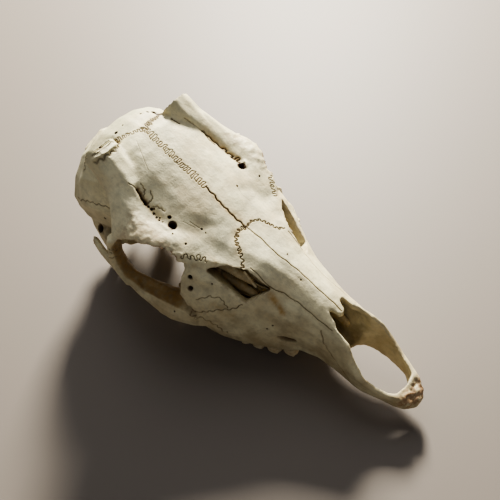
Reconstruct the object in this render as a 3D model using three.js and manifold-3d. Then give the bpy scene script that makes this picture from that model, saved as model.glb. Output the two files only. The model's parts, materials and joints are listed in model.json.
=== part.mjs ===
// Cranium of an adult roe deer buck, without the lower jaw, its antlers sawn off at the pedicles.
// Millimetres, +Z up, muzzle towards -Y, the animal's left side towards +X.
// The origin is under the middle of the skull, on the surface that the cheek teeth and the
// paracondylar processes rest on. The skull is modelled whole, then parted into its bones by thin
// cuts along the sutures.
import * as THREE from "three";
import { mergeVertices } from "three/addons/utils/BufferGeometryUtils.js";
import Module from "manifold-3d";

const wasm = await Module();
wasm.setup();

// ---------------------------------------------------------------- driving sizes
// Places are given as (out, back, up): out from the midline, back along the skull from a datum
// just ahead of the premaxillae, and up from the resting surface.
const FRONT = 2;
const HIND = 205;
const MIDDLE = (FRONT + HIND) / 2;
const CUT = 0.3; // width of the thin cuts that part one bone from the next
const WALL = 2.2; // thickness of the nasal and maxillary walls

const NASAL_TIP = 47; // back from the front
const NASION = 104;
const BREGMA = 166;
const BRAINCASE_FRONT = 138;
const OCCIPUT = 203.5;

const ORBIT = { back: 131, up: 52.3, length: 18.6, height: 18, rimOut: 41, floorOut: 15 };

// Height of the midline of the roof above the resting surface.
const roofUp = profile([
  [FRONT, 12], [20, 22], [NASAL_TIP, 44.5], [60, 49.5], [78, 56], [NASION, 63.5], [115, 69.5],
  [126, 75], [140, 81.5], [152, 87], [BREGMA, 91], [178, 91], [188, 86.5], [197, 76.5], [HIND, 64],
]);

// The face from the premaxillae to the front of the orbits, as edge lines [back, out, up].
const face = {
  shoulder: line([[FRONT, 1.5, 13.5], [6, 6.4, 16.5], [10, 8.4, 18.5], [15, 10.6, 18.9], [20, 12.3, 20.3],
    [24.5, 13.7, 23.2], [28.7, 14, 27.4], [32, 13.2, 32.2], [35, 12, 36.2], [39.5, 10, 39.5],
    [NASAL_TIP, 8.6, 42.2], [62, 8.8, 46.8], [80, 10.8, 52.5], [90, 15.5, 57.2], [98, 20, 59.5],
    [NASION, 24, 61], [114, 30, 62.5], [124, 31, 62]]),
  side: line([[FRONT, 3, 12], [6, 7.6, 13], [16, 11, 15.5], [23, 13, 18.5], [29, 14, 21.5],
    [36, 13.6, 27], [NASAL_TIP, 13, 33], [62, 15.4, 38], [70, 17.8, 39.5], [80, 21.3, 40.5],
    [88, 25.6, 42], [95, 30.2, 42.5], [NASION, 36.5, 45.5], [114, 38, 46.5], [124, 36, 45]]),
  tuber: line([[FRONT, 3, 11], [6, 7.6, 11.5], [16, 10.6, 12.5], [27, 12.7, 13.5], [38, 12.7, 16],
    [NASAL_TIP, 12.2, 19], [56, 13, 20], [64, 16.4, 19], [80, 25.4, 21.5], [92, 32.2, 24],
    [NASION, 37, 27], [114, 35, 29], [124, 26, 29]]),
  alveolus: line([[FRONT, 1.5, 10], [6, 6.2, 9.5], [16, 9, 10.5], [27, 11.2, 11], [38, 10.8, 12.5],
    [58, 10.8, 13.5], [64, 14.8, 13], [72, 18.5, 11], [80, 21.3, 9.5], [92, 25, 8.5],
    [NASION, 27, 8.5], [116, 26.5, 9.5], [124, 21, 16]]),
  palateUp: profile([[FRONT, 9.5], [20, 11], [40, 14.5], [62, 16], [80, 16], [NASION, 17], [124, 22]]),
};

// The forehead and the roof of the orbits: a smooth crown, the supraorbital groove, the shoulder
// beside it that rises into the pedicle, and the rim that overhangs the orbit.
const forehead = {
  groove: line([[98, 9, 58.5], [NASION, 13, 61.5], [115, 18, 66.5], [122, 22, 68.6],
    [128, 25.4, 70.2], [135, 26, 72.2], [142, 25.3, 75.6], [149, 23.5, 80.4], [156, 21.5, 84.5],
    [165, 19, 88], [170, 17, 88.5]]),
  shoulder: line([[98, 12, 57], [NASION, 19, 60.5], [115, 26, 65.8], [122, 30.2, 69.2], [128, 32.5, 71.8],
    [135, 33.5, 73.8], [142, 34, 76], [149, 33.2, 79.6], [156, 31, 84.5], [165, 27.5, 89], [170, 25, 88]]),
  rim: line([[98, 14, 54.5], [NASION, 23, 58.5], [110, 29.5, 61.5], [115, 33, 64.2], [120, 36, 66.2],
    [125, 38, 69.6], [130, 39.3, 71.8], [135, 40.8, 71.8], [140, 42, 70], [144.5, 43.2, 68],
    [148.4, 44.6, 65.4], [150.2, 42, 68.2], [152.5, 38.5, 73], [156, 35.5, 78.6],
    [160, 33.2, 83.5], [165, 31, 86], [170, 29, 85]]),
  lip: 4.2, // thickness of the rim
};

// The narrow stem between the orbits, from the nasal cavity to the front of the braincase.
const stem = {
  out: profile([[104, 24], [118, 17], [132, 12.5], [142, 13], [150, 17], [160, 22]]),
  foot: profile([[104, 12], [118, 9], [132, 6.5], [150, 8], [160, 10]]),
  footUp: profile([[104, 22], [120, 26], [135, 29], [160, 27]]),
};

const braincase = {
  out: profile([[BRAINCASE_FRONT, 10], [146, 19], [156, 27], [168, 32], [180, 33.8],
    [190, 33.6], [197, 31], [201, 26.5], [OCCIPUT, 18]]),
  baseUp: profile([[BRAINCASE_FRONT, 34], [150, 30], [165, 28], [180, 27], [195, 28], [OCCIPUT, 34]]),
  waistUp: profile([[BRAINCASE_FRONT, 52], [168, 58], [190, 55], [OCCIPUT, 47]]),
};

// The zygomatic arch, from the front of the orbit to its root above the ear. The right arch is
// broken off short of its root, so it ends free.
const ARCH_FRONT = [[26, 92, 30], [35.5, 104, 28.5], [41.2, 116, 28], [43.4, 130, 29.5], [43.6, 145, 34],
  [42.8, 158, 36.8], [41.2, 168, 38]];
const ARCH_ROOT = [[36.5, 174.5, 39.5], [27, 178, 40]];
const ARCH_STUMP = [[38.8, 176.3, 37.8]];
const POSTORBITAL_BAR = [[42.8, 144, 34], [43.2, 150.6, 42], [43.2, 152.2, 52], [42.8, 149, 64]];

// Each pedicle runs up and back from the forehead and ends at its own saw cut.
const PEDICLE_PATH = [[24.5, 146, 67.5], [24, 156, 76.5], [23.4, 166, 85], [23, 178, 94.5]];
const SAW_NORMAL = new THREE.Vector3(0, 0.87, 0.49).normalize();
const SAW_BACK = { 1: [23, 167.6, 93.6], "-1": [23, 170.1, 97.1] }; // left +1, right -1

// Cheek teeth from the second premolar to the third molar: length along the row, and lobes.
const TEETH = [
  { length: 8, lobes: 1, wide: 6.8 }, { length: 8.5, lobes: 1, wide: 8 },
  { length: 8, lobes: 1, wide: 9.4 }, { length: 10.5, lobes: 2, wide: 10.6 },
  { length: 11.5, lobes: 2, wide: 11.2 }, { length: 11.5, lobes: 2, wide: 10.8 },
];
const TOOTH_ROW = {
  front: 64,
  centre: profile([[64, 11.6], [68, 12.8], [76, 15.4], [85, 17.2], [94, 18.6], [105, 20], [122, 20]]),
  tip: profile([[64, 6], [68, 4.6], [80, 2.2], [92, 0.4], [100, -0.4], [113, -0.4], [122, 0.8]]),
  root: 16,
};

// ---------------------------------------------------------------- shape tools

// A function that runs smoothly, without overshoot, through [distance, value] pairs.
function profile(knots) {
  const slope = knots.map((k, i) => {
    if (i === 0 || i === knots.length - 1) return null;
    const before = (k[1] - knots[i - 1][1]) / (k[0] - knots[i - 1][0]);
    const after = (knots[i + 1][1] - k[1]) / (knots[i + 1][0] - k[0]);
    return before * after <= 0 ? 0 : (2 * before * after) / (before + after);
  });
  const steady = (i) => (knots[i + 1][1] - knots[i][1]) / (knots[i + 1][0] - knots[i][0]);
  slope[0] = steady(0);
  slope[knots.length - 1] = steady(knots.length - 2);
  return (at) => {
    const d = THREE.MathUtils.clamp(at, knots[0][0], knots[knots.length - 1][0]);
    const i = Math.max(1, knots.findIndex((k) => k[0] >= d));
    const [d0, v0] = knots[i - 1];
    const [d1, v1] = knots[i];
    const h = d1 - d0;
    const t = (d - d0) / h;
    const t2 = t * t;
    const t3 = t2 * t;
    return (2 * t3 - 3 * t2 + 1) * v0 + (t3 - 2 * t2 + t) * h * slope[i - 1]
      + (3 * t2 - 2 * t3) * v1 + (t3 - t2) * h * slope[i];
  };
}

// An edge line along the skull, from [back, out, up] rows.
function line(rows) {
  const out = profile(rows.map((r) => [r[0], r[1]]));
  const up = profile(rows.map((r) => [r[0], r[2]]));
  return (back) => [out(back), up(back)];
}

// A place on the skull in the part's own frame.
function place(out, back, up) {
  return new THREE.Vector3(out, back - MIDDLE, up);
}

// A closed, smooth outline through a half outline of [out, up] pairs and its mirror image.
function ringOf(half, back, perSpan = 2) {
  const mirror = half.slice(1, -1).reverse().map(([out, up]) => [-out, up]);
  const points = [...half, ...mirror].map(([out, up]) => place(out, back, up));
  const curve = new THREE.CatmullRomCurve3(points, true, "catmullrom", 0.45);
  const count = points.length * perSpan;
  return Array.from({ length: count }, (_, i) => curve.getPoint(i / count));
}

// A solid skinned over rings of points, with a fan over each end.
function loft(rings) {
  const sides = rings[0].length;
  const points = rings.flat();
  const faces = [];
  for (let r = 0; r + 1 < rings.length; r++) {
    for (let i = 0; i < sides; i++) {
      const a = r * sides + i;
      const b = r * sides + ((i + 1) % sides);
      faces.push(a, b, b + sides, a, b + sides, a + sides);
    }
  }
  for (const [ring, start, turn] of [[rings[0], 0, 1], [rings.at(-1), points.length - sides, -1]]) {
    const middle = ring.reduce((sum, p) => sum.add(p), new THREE.Vector3()).divideScalar(sides);
    const hub = points.push(middle) - 1;
    for (let i = 0; i < sides; i++) {
      const next = start + ((i + 1) % sides);
      faces.push(...(turn > 0 ? [next, start + i, hub] : [start + i, next, hub]));
    }
  }
  return solid(new THREE.BufferGeometry().setFromPoints(points).setIndex(faces));
}

// A solid of oval section along a smooth path of places. half(t) gives [across, tall] half sizes.
function sweep(path, half, steps = 8, sides = 8, upright = new THREE.Vector3(0, 0, 1)) {
  const curve = new THREE.CatmullRomCurve3(path.map((p) => place(...p)), false, "centripetal");
  const rings = [];
  for (let s = 0; s <= steps; s++) {
    const t = s / steps;
    const centre = curve.getPointAt(t);
    const along = curve.getTangentAt(t);
    const across = new THREE.Vector3().crossVectors(upright, along).normalize();
    const tall = new THREE.Vector3().crossVectors(along, across);
    const [a, b] = half(t);
    rings.push(Array.from({ length: sides }, (_, i) => {
      const angle = (2 * Math.PI * (i + 0.5)) / sides;
      return centre.clone()
        .addScaledVector(across, a * Math.cos(angle))
        .addScaledVector(tall, b * Math.sin(angle));
    }));
  }
  return loft(rings);
}

// An ellipsoid at a place, with half sizes [out, back, up] and a turn in degrees about X, Y and Z.
function ball(centre, half, turn = [0, 0, 0], across = 8) {
  const shape = new THREE.SphereGeometry(1, across, Math.round(across * 0.6));
  shape.scale(...half);
  return solid(turned(shape, turn).translate(...place(...centre).toArray()));
}

function turned(shape, degrees) {
  const [x, y, z] = degrees.map(THREE.MathUtils.degToRad);
  return shape.applyMatrix4(new THREE.Matrix4().makeRotationFromEuler(new THREE.Euler(x, y, z)));
}

// A round bore from one place to another.
function bore(from, to, radius, sides = 10) {
  const [start, end] = [place(...from), place(...to)];
  const shape = new THREE.CylinderGeometry(radius, radius, start.distanceTo(end), sides);
  const along = end.clone().sub(start).normalize();
  shape.applyQuaternion(new THREE.Quaternion().setFromUnitVectors(new THREE.Vector3(0, 1, 0), along));
  return solid(shape.translate(...start.add(end).divideScalar(2).toArray()));
}

// A straight-sided solid over an outline seen from above, [out, back], between two heights.
function planSolid(outline, low, high) {
  const shape = new THREE.Shape(outline.map(([out, back]) => new THREE.Vector2(out, back - MIDDLE)));
  const geometry = new THREE.ExtrudeGeometry(shape, { depth: high - low, bevelEnabled: false });
  return solid(geometry.translate(0, 0, low));
}

// A straight-sided solid over an outline seen from the side, [back, up], between two outs.
function sideSolid(outline, from, to) {
  const shape = new THREE.Shape(outline.map(([back, up]) => new THREE.Vector2(back - MIDDLE, up)));
  const geometry = new THREE.ExtrudeGeometry(shape, { depth: to - from, bevelEnabled: false });
  // The outline's own plane is turned so that its depth runs along X.
  const turn = new THREE.Matrix4().set(0, 0, 1, from, 1, 0, 0, 0, 0, 1, 0, 0, 0, 0, 0, 1);
  return solid(geometry.applyMatrix4(turn));
}

// The outline moved outwards by a small distance.
function grown(outline, by) {
  const points = outline.map(([a, b]) => new THREE.Vector2(a, b));
  const outwards = THREE.ShapeUtils.isClockWise(points) ? -by : by;
  const normal = (from, to) => {
    const along = to.clone().sub(from).normalize();
    return new THREE.Vector2(along.y, -along.x);
  };
  return points.map((p, i) => {
    const before = normal(points.at(i - 1), p);
    const after = normal(p, points[(i + 1) % points.length]);
    const mean = before.clone().add(after).normalize();
    const reach = outwards / Math.max(0.5, mean.dot(after));
    return [p.x + mean.x * reach, p.y + mean.y * reach];
  });
}

// The closed geometry as a manifold-3d solid, turned right side out if need be.
function solid(geometry) {
  const bare = geometry.clone();
  bare.deleteAttribute("normal");
  bare.deleteAttribute("uv");
  const merged = mergeVertices(bare, 1e-4);
  const vertProperties = new Float32Array(merged.getAttribute("position").array);
  const triVerts = new Uint32Array(merged.index.array);
  const made = new wasm.Manifold(new wasm.Mesh({ numProp: 3, vertProperties, triVerts }));
  if (made.volume() > 0) return made;
  for (let i = 0; i < triVerts.length; i += 3) {
    [triVerts[i + 1], triVerts[i + 2]] = [triVerts[i + 2], triVerts[i + 1]];
  }
  return new wasm.Manifold(new wasm.Mesh({ numProp: 3, vertProperties, triVerts }));
}

function geometryOf(made) {
  const { vertProperties, triVerts } = made.getMesh();
  const geometry = new THREE.BufferGeometry();
  geometry.setAttribute("position", new THREE.BufferAttribute(new Float32Array(vertProperties), 3));
  geometry.setIndex(new THREE.BufferAttribute(new Uint32Array(triVerts), 1));
  geometry.computeVertexNormals();
  return geometry;
}

function join(...solids) {
  return solids.flat().reduce((all, one) => all.add(one));
}

function cutAway(body, ...tools) {
  return tools.flat().reduce((left, tool) => left.subtract(tool), body);
}

// The same thing on the animal's left (+1) and right (-1).
function bothSides(make) {
  return [make(1), make(-1)];
}

// A half outline seen from above, finished with its mirror image.
function mirrored(outline) {
  const paired = outline.filter(([out]) => out > 0).reverse();
  return [...outline, ...paired.map(([out, back]) => [-out, back])];
}

function onSide(side, places) {
  return places.map(([out, back, up]) => [side * out, back, up]);
}

function stations(from, to, count) {
  return Array.from({ length: count }, (_, i) => from + ((to - from) * i) / (count - 1));
}

function mix(a, b, t) {
  return a + (b - a) * t;
}

// ---------------------------------------------------------------- the main solids

function faceBlock() {
  const backs = [FRONT, 3.2, 6, 10, 15, 20, 25, 29, 32.5, 37, ...stations(43, 123, 10)];
  return loft(backs.map((back) => ringOf([
    [0, Math.max(face.shoulder(back)[1], roofUp(back))],
    face.shoulder(back),
    face.side(back),
    face.tuber(back),
    face.alveolus(back),
    [0, face.palateUp(back)],
  ], back)));
}

function foreheadShelf() {
  const backs = [104, 110, 115, 120, 125, 131, 137, 143, 148.4, 151, 156, 163, 170];
  return loft(backs.map((back) => {
    const [rimOut, rimUp] = forehead.rim(back);
    const [grooveOut, grooveUp] = forehead.groove(back);
    const crownUp = mix(roofUp(back), grooveUp, 0.3);
    return ringOf([
      [0, roofUp(back)],
      [0.55 * grooveOut, crownUp],
      [grooveOut, grooveUp],
      forehead.shoulder(back),
      [rimOut, rimUp],
      [rimOut - 2.5, rimUp - forehead.lip],
      [0, rimUp - 2 * forehead.lip],
    ], back);
  }));
}

function orbitalStem() {
  return loft(stations(104, 160, 5).map((back) => {
    const roof = forehead.rim(Math.min(back, 149))[1] - 2;
    return ringOf([
      [0, roof],
      [1.3 * stem.out(back), roof - 2],
      [stem.out(back), 50],
      [stem.foot(back), stem.footUp(back) + 6],
      [0.8 * stem.foot(back), stem.footUp(back)],
      [0, stem.footUp(back) - 1],
    ], back);
  }));
}

function braincaseDome() {
  return loft([...stations(BRAINCASE_FRONT, 197, 7), 201, OCCIPUT].map((back) => {
    const out = braincase.out(back);
    const top = roofUp(back) - 0.4;
    const low = braincase.baseUp(back);
    const waist = braincase.waistUp(back);
    return ringOf([
      [0, top],
      [0.62 * out, mix(waist, top, 0.8)],
      [out, waist],
      [0.8 * out, mix(waist, low, 0.75)],
      [0, low],
    ], back);
  }));
}

// The pedicle before it is sawn off, a margin larger all round where its space is wanted.
function pedicleHorn(side, margin = 0) {
  const half = (t) => [mix(11, 8.6, t) + margin, mix(9, 7.6, t) + margin];
  return sweep(onSide(side, PEDICLE_PATH), half, 3, 9, new THREE.Vector3(0, 1, 0));
}

function pedicle(side) {
  const [out, back, up] = SAW_BACK[side];
  // Everything behind the saw cut, as a large box turned to face along the cut's normal.
  const size = 60;
  const sawn = new THREE.BoxGeometry(size, size, size).translate(0, size / 2, 0);
  const turn = new THREE.Quaternion().setFromUnitVectors(new THREE.Vector3(0, 1, 0), SAW_NORMAL);
  sawn.applyQuaternion(turn).translate(...place(side * out, back, up).toArray());
  return pedicleHorn(side).subtract(solid(sawn));
}

function zygomaticArch(side) {
  const path = [...ARCH_FRONT, ...(side > 0 ? ARCH_ROOT : ARCH_STUMP)];
  const arch = sweep(onSide(side, path), (t) => [mix(3.4, 1.9, t), mix(5.2, 3.2, t)], 9, 6);
  const glenoid = ball([side * 28, 170, 38], [side > 0 ? 10 : 8, 8, 4.5]);
  return join(arch, glenoid);
}

// The band of bone round the back and floor of the orbit, before the orbit's hollow shapes it.
function orbitBand(side) {
  const bar = sweep(onSide(side, POSTORBITAL_BAR), () => [3.1, 4.6], 4, 6, new THREE.Vector3(1, 0, 0));
  const floor = sweep(onSide(side, [[33, 106, 31], [36.5, 118, 32.5], [40, 132, 33], [41.8, 146, 36]]),
    (t) => [mix(9, 3.6, t), 3.4], 4, 5);
  return join(bar, floor);
}

// Basioccipital bar, bullae, ear tubes, condyles, paracondylar processes and nuchal crest.
function skullBase() {
  const bar = loft(stations(136, 199, 3).map((back) => ringOf([
    [0, 36], [mix(8, 11, (back - 136) / 63), 31], [7.5, 25.5], [0, 24.5],
  ], back)));
  const ears = bothSides((side) => join(
    ball([side * 17, 178, 23], [6.5, 9, 8.5], [0, 0, side * -15]),
    sweep([[side * 20, 179, 28], [side * 31, 181, 36]], () => [3.6, 3.6], 1, 6),
  ));
  const condyles = bothSides((side) => ball([side * 10.5, 198.3, 29], [8, 6.4, 9.5], [0, 0, side * 25]));
  const processes = bothSides((side) => sweep(
    onSide(side, [[24, 193, 42], [25.5, 190, 28], [25, 187, 12], [23.5, 184.5, -1.5]]),
    (t) => [mix(3.4, 2.2, t), mix(6.5, 3, t)], 3, 6, new THREE.Vector3(0, 1, 0),
  ));
  const crestSide = [[29, 187, 44], [26, 193, 54], [17, 200, 63], [8, 203, 67.5], [0, HIND - 1.8, 69]];
  const crest = sweep([...crestSide, ...onSide(-1, crestSide.slice(0, -1).reverse())],
    () => [1.8, 2.8], 8, 4, new THREE.Vector3(0, 1, 0));
  return join(bar, ears, condyles, processes, crest);
}

// The upright plates of the palatines and pterygoids, on both sides of the hind nostrils.
function pterygoidPlate(side) {
  const outline = [[106, 18], [118, 13.5], [130, 12.5], [137, 13.5], [140, 18], [148, 27], [140, 31],
    [106, 30]];
  const [near, far] = [6.8, 9.6];
  return side > 0 ? sideSolid(outline, near, far) : sideSolid(outline, -far, -near);
}

// One lobe of a cheek tooth, a little narrower at its wearing edge than at its root.
function toothLobe(centre, length, wide, tip) {
  const [out, back] = centre;
  const section = (up, grow) => Array.from({ length: 6 }, (_, i) => {
    const angle = (2 * Math.PI * i) / 6;
    const across = 0.54 * wide * grow * Math.cos(angle);
    const along = 0.57 * length * grow * Math.sin(angle);
    return place(out + across, back + along, up);
  });
  return loft([section(TOOTH_ROW.root, 1), section(tip, 0.9)]);
}

function toothRow(side) {
  const lobes = [];
  let back = TOOTH_ROW.front;
  for (const tooth of TEETH) {
    const step = tooth.length / tooth.lobes;
    for (let i = 0; i < tooth.lobes; i++) {
      const middle = back + step / 2;
      const out = side * TOOTH_ROW.centre(middle);
      lobes.push(toothLobe([out, middle], step * 0.98, tooth.wide, TOOTH_ROW.tip(middle)));
      back += step;
    }
  }
  return lobes;
}

// ---------------------------------------------------------------- hollows

// The conical hollow of an orbit, its rounded rectangular rim outside and its floor near the stem.
function orbitHollow(side) {
  const rings = [[60, 1.03, 0], [ORBIT.rimOut, 1.0, 0], [34, 0.96, 0], [25, 0.84, -1.5],
    [ORBIT.floorOut, 0.45, -3]];
  // A power below one squares the ellipse off towards a rounded rectangle.
  const squared = (v) => Math.sign(v) * Math.abs(v) ** 0.82;
  const sides = 12;
  return loft(rings.map(([out, size, drop]) => Array.from({ length: sides }, (_, i) => {
    const angle = (2 * Math.PI * (i + 0.5)) / sides;
    return place(side * out, ORBIT.back + ORBIT.length * size * squared(Math.cos(angle)),
      ORBIT.up + drop + ORBIT.height * size * squared(Math.sin(angle)));
  })));
}

// The nasal cavity under the roof of the face, from behind the nasal tips to the ethmoid.
function nasalCavity() {
  const half = profile([[38, 9], [NASAL_TIP, 9.8], [62, 12], [80, 17], [95, 21], [106, 21.5], [112, 17]]);
  const floor = profile([[38, 16.5], [62, 18.5], [80, 19], [112, 24]]);
  return loft(stations(38, 112, 5).map((back) => {
    const roof = roofUp(back) - WALL;
    const [shoulderOut, shoulderUp] = face.shoulder(back);
    return ringOf([
      [0, roof],
      [0.86 * Math.min(shoulderOut, 15), shoulderUp - 1.4 * WALL],
      [half(back), face.side(back)[1]],
      [0.72 * half(back), mix(floor(back), face.side(back)[1], 0.3)],
      [0.6 * half(back), floor(back)],
      [0, floor(back)],
    ], back, 1);
  }));
}

// The bony nostril: open above and, between the premaxillae, open below as well.
function nostril() {
  const gap = profile([[10.3, 0.5], [11.3, 4.5], [14, 7.6], [19, 9.4], [26, 10.6], [33, 10.4], [38, 9],
    [41.6, 5.5], [43, 0.5]]);
  const incisiveGap = loft([10.3, 11.5, 15, 20, 26, 33, 38.5, 41.5, 43].map((back) => {
    const low = gap(back);
    const high = Math.min(face.shoulder(back)[0] - 1.9, 1.35 * low);
    const edgeUp = face.shoulder(back)[1] - 1.5;
    return ringOf([[0, 60], [high, 60], [high, edgeUp], [low, 15], [low, -1], [0, -1]], back, 1);
  }));
  const underNasals = mirrored([[0, 40], [8.8, 38], [8.4, 43.5], [7.6, 45.5], [6.2, 47], [4, 54], [2, 48],
    [0, NASAL_TIP]]);
  return [incisiveGap, planSolid(underNasals, 26, 60)];
}

// The ethmoid vacuity between nasal, frontal, lacrimal and maxilla, cut square to the face there.
function vacuity(side) {
  const outline = [[26, 107.4, 56.4], [21.5, 100.3, 58.6], [16, 90.5, 57.2], [13.6, 84, 51.6],
    [11.7, 79.5, 48.2], [22.6, 87, 43], [24.4, 97, 49.6]];
  const outwards = [0.634, -0.496, 0.593];
  return loft([-10, 9].map((shift) => outline.map((p) => {
    const [out, back, up] = p.map((v, i) => v + shift * outwards[i]);
    return place(side * out, back, up);
  })));
}

function foramina(side) {
  const supraorbital = bore([side * 24.5, 127.5, 78], [side * 24.5, 127.5, 58], 1.8, 8);
  const infraorbital = ball([side * 19.5, 66.5, 23.5], [7, 5.2, 2.2], [0, 0, side * 20]);
  return [supraorbital, infraorbital];
}

function foramenMagnum() {
  const canal = [[0, 172, 40], [0, 185, 39], [0, 199, 37], [0, 212, 36]];
  return sweep(canal, (t) => [mix(5, 8.6, t), mix(5, 8, t)], 2, 8);
}

function hindNostrils() {
  return loft(stations(100, 144, 3).map((back) => ringOf([
    [0, 26.5], [5.2, 25.5], [6.4, 21], [6, 8], [0, 8],
  ], back, 1)));
}

// ---------------------------------------------------------------- the whole skull

const aboveFloor = solid(new THREE.BoxGeometry(200, 300, 200).translate(0, 0, 100));
const massive = join(faceBlock(), foreheadShelf(), orbitalStem(), braincaseDome(), bothSides(orbitBand));
const carved = cutAway(massive, bothSides(orbitHollow), nasalCavity(), hindNostrils());
const dressed = join(carved, bothSides(pedicle), bothSides(zygomaticArch), skullBase(),
  bothSides(pterygoidPlate), bothSides(toothRow).flat());
const whole = cutAway(dressed, nostril(), bothSides(vacuity), bothSides(foramina).flat(), foramenMagnum())
  .intersect(aboveFloor);

// ---------------------------------------------------------------- parting into bones

// The bones in the order in which they are parted off, each with the space it fills: an outline
// seen from the side, [back, up], or from above, [out, back], and its extent the third way. The free
// end of the broken right arch goes with the jugal, and the upper postorbital bar and the horn of the
// pedicle with the frontal.
const FAR = 70;
const SIDE_BONES = [
  { name: "premaxilla", side: [[-9, -9], [30, -9], [32, 12], [37, 20], [43, 28], [46.5, 36], [46.5, 60],
    [-9, 60]], from: 0, to: FAR },
  { name: "nasal", plan: [[0, 40], [8.6, 40], [9.2, 60], [11.4, 80], [15, 93.5], [12, 98], [8, 103.4],
    [0, NASION]], from: 30, to: 90 },
  { name: "lacrimal", side: [[105, 56.5], [96, 50], [86, 44], [91, 38], [100, 36.5], [109, 34], [115, 40],
    [118, 56], [112, 59]], from: 18.5, to: FAR },
  { name: "jugal", side: [[89, 36.4], [93, 24], [108, 20], [156, 24], [162, 31], [158, 46], [157, 50.5],
    [117, 50.5], [114.4, 40], [109, 33.6], [100, 36.1]], from: 27, to: FAR,
    extra: { side: [[150, 28], [182, 28], [182, 46], [150, 46]], from: 36.3, rightOnly: true } },
  { name: "frontal", side: [[85, 50.5], [154, 50.5], [148, 53], [152, 62], [159, 75], [164, 86],
    [166.4, 92.6], [166.4, 120], [85, 120]], from: 0, to: FAR, horn: true,
    extra: { side: [[140, 50.5], [157, 50.5], [157, 68], [140, 68]], from: 36.3 } },
  { name: "maxilla", side: [[20, -9], [124.5, -9], [124.5, 20], [114, 32], [114, 50.5], [85, 60], [20, 60]],
    from: 0, to: FAR },
  { name: "temporal", side: [[152, 50], [158, 26], [176, 12], [187.5, 12], [189.6, 34], [193, 56], [168, 60]],
    from: 10.2, to: FAR },
];
const MIDLINE_BONES = [
  { name: "occipital", side: [[166, 26.5], [190, 34], [194, 60], [199, 72], [220, 90], [220, -9], [160, -9]],
    from: -FAR, to: FAR },
  { name: "parietal", side: [[140, 52], [230, 52], [230, 130], [140, 130]], from: -FAR, to: FAR },
];

// A left bone reaches the midline itself, and a right one stops a cut's width short of it.
function nearest(side) {
  return side > 0 ? 0 : CUT;
}

// The space of a bone as a solid, and the same with the width of the cut added all round.
function spaceOf(bone, side) {
  const { from, to } = bone;
  return [0, CUT].map((margin) => {
    const inner = nearest(side) - margin;
    if (bone.plan) {
      const outline = grown(bone.plan, margin).map(([out, back]) => [side * Math.max(out, inner), back]);
      return planSolid(outline, from - margin, to + margin);
    }
    const seenFromSide = (shape, low) => {
      const outline = grown(shape, margin);
      const high = to + margin;
      return side > 0 ? sideSolid(outline, low, high) : sideSolid(outline, -high, -low);
    };
    const spaces = [seenFromSide(bone.side, from === 0 ? inner : from - margin)];
    if (bone.horn) spaces.push(pedicleHorn(side, margin));
    if (bone.extra && !(bone.extra.rightOnly && side > 0)) {
      spaces.push(seenFromSide(bone.extra.side, bone.extra.from - margin));
    }
    return join(spaces);
  });
}

// The largest body of a solid that a cut has left in several.
function largest(made) {
  return made.decompose().reduce((best, one) => (one.volume() > best.volume() ? one : best));
}

function partIntoBones(skull) {
  const bones = new Map();
  let left = skull;
  const partOff = (name, bone, side) => {
    const [inside, around] = spaceOf(bone, side);
    bones.set(name, largest(left.intersect(inside)));
    left = left.subtract(around);
  };
  for (const bone of SIDE_BONES) {
    partOff(`${bone.name}_l`, bone, 1);
    partOff(`${bone.name}_r`, bone, -1);
  }
  for (const bone of MIDLINE_BONES) partOff(bone.name, bone, 1);
  bones.set("sphenoid", largest(left));
  return bones;
}

// Bleached cream on the forehead, greyer and greener on the braincase, browner below.
const COLOURS = {
  premaxilla: 0xb9a987, nasal: 0xd3c9b0, lacrimal: 0xb5a886, jugal: 0xc2b596, frontal: 0xd8d0bb,
  maxilla: 0xbfb193, temporal: 0xb8ad90, occipital: 0xb7ab8c, parietal: 0xb9b6a2, sphenoid: 0x9c8a66,
};

const skull = new THREE.Group();
for (const [name, made] of partIntoBones(whole)) {
  const color = COLOURS[name.split("_")[0]];
  const bone = new THREE.MeshStandardMaterial({ color, roughness: 0.62, metalness: 0 });
  const mesh = new THREE.Mesh(geometryOf(made), bone);
  mesh.name = name;
  skull.add(mesh);
}

export default skull;
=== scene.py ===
# A dry roe deer cranium on a pale floor: its bones parted at the sutures, its cheek teeth, and the
# thin plates inside the nose.
#
# Most of the work is done in skull space, in millimetres: x is out from the midline (the animal's
# left is positive), y is back from a datum just ahead of the muzzle, and z is up from the floor.
import json
import math
import random

import bpy
import numpy as np
from mathutils import Matrix, Vector
from mathutils.bvhtree import BVHTree
from mathutils.kdtree import KDTree

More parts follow.
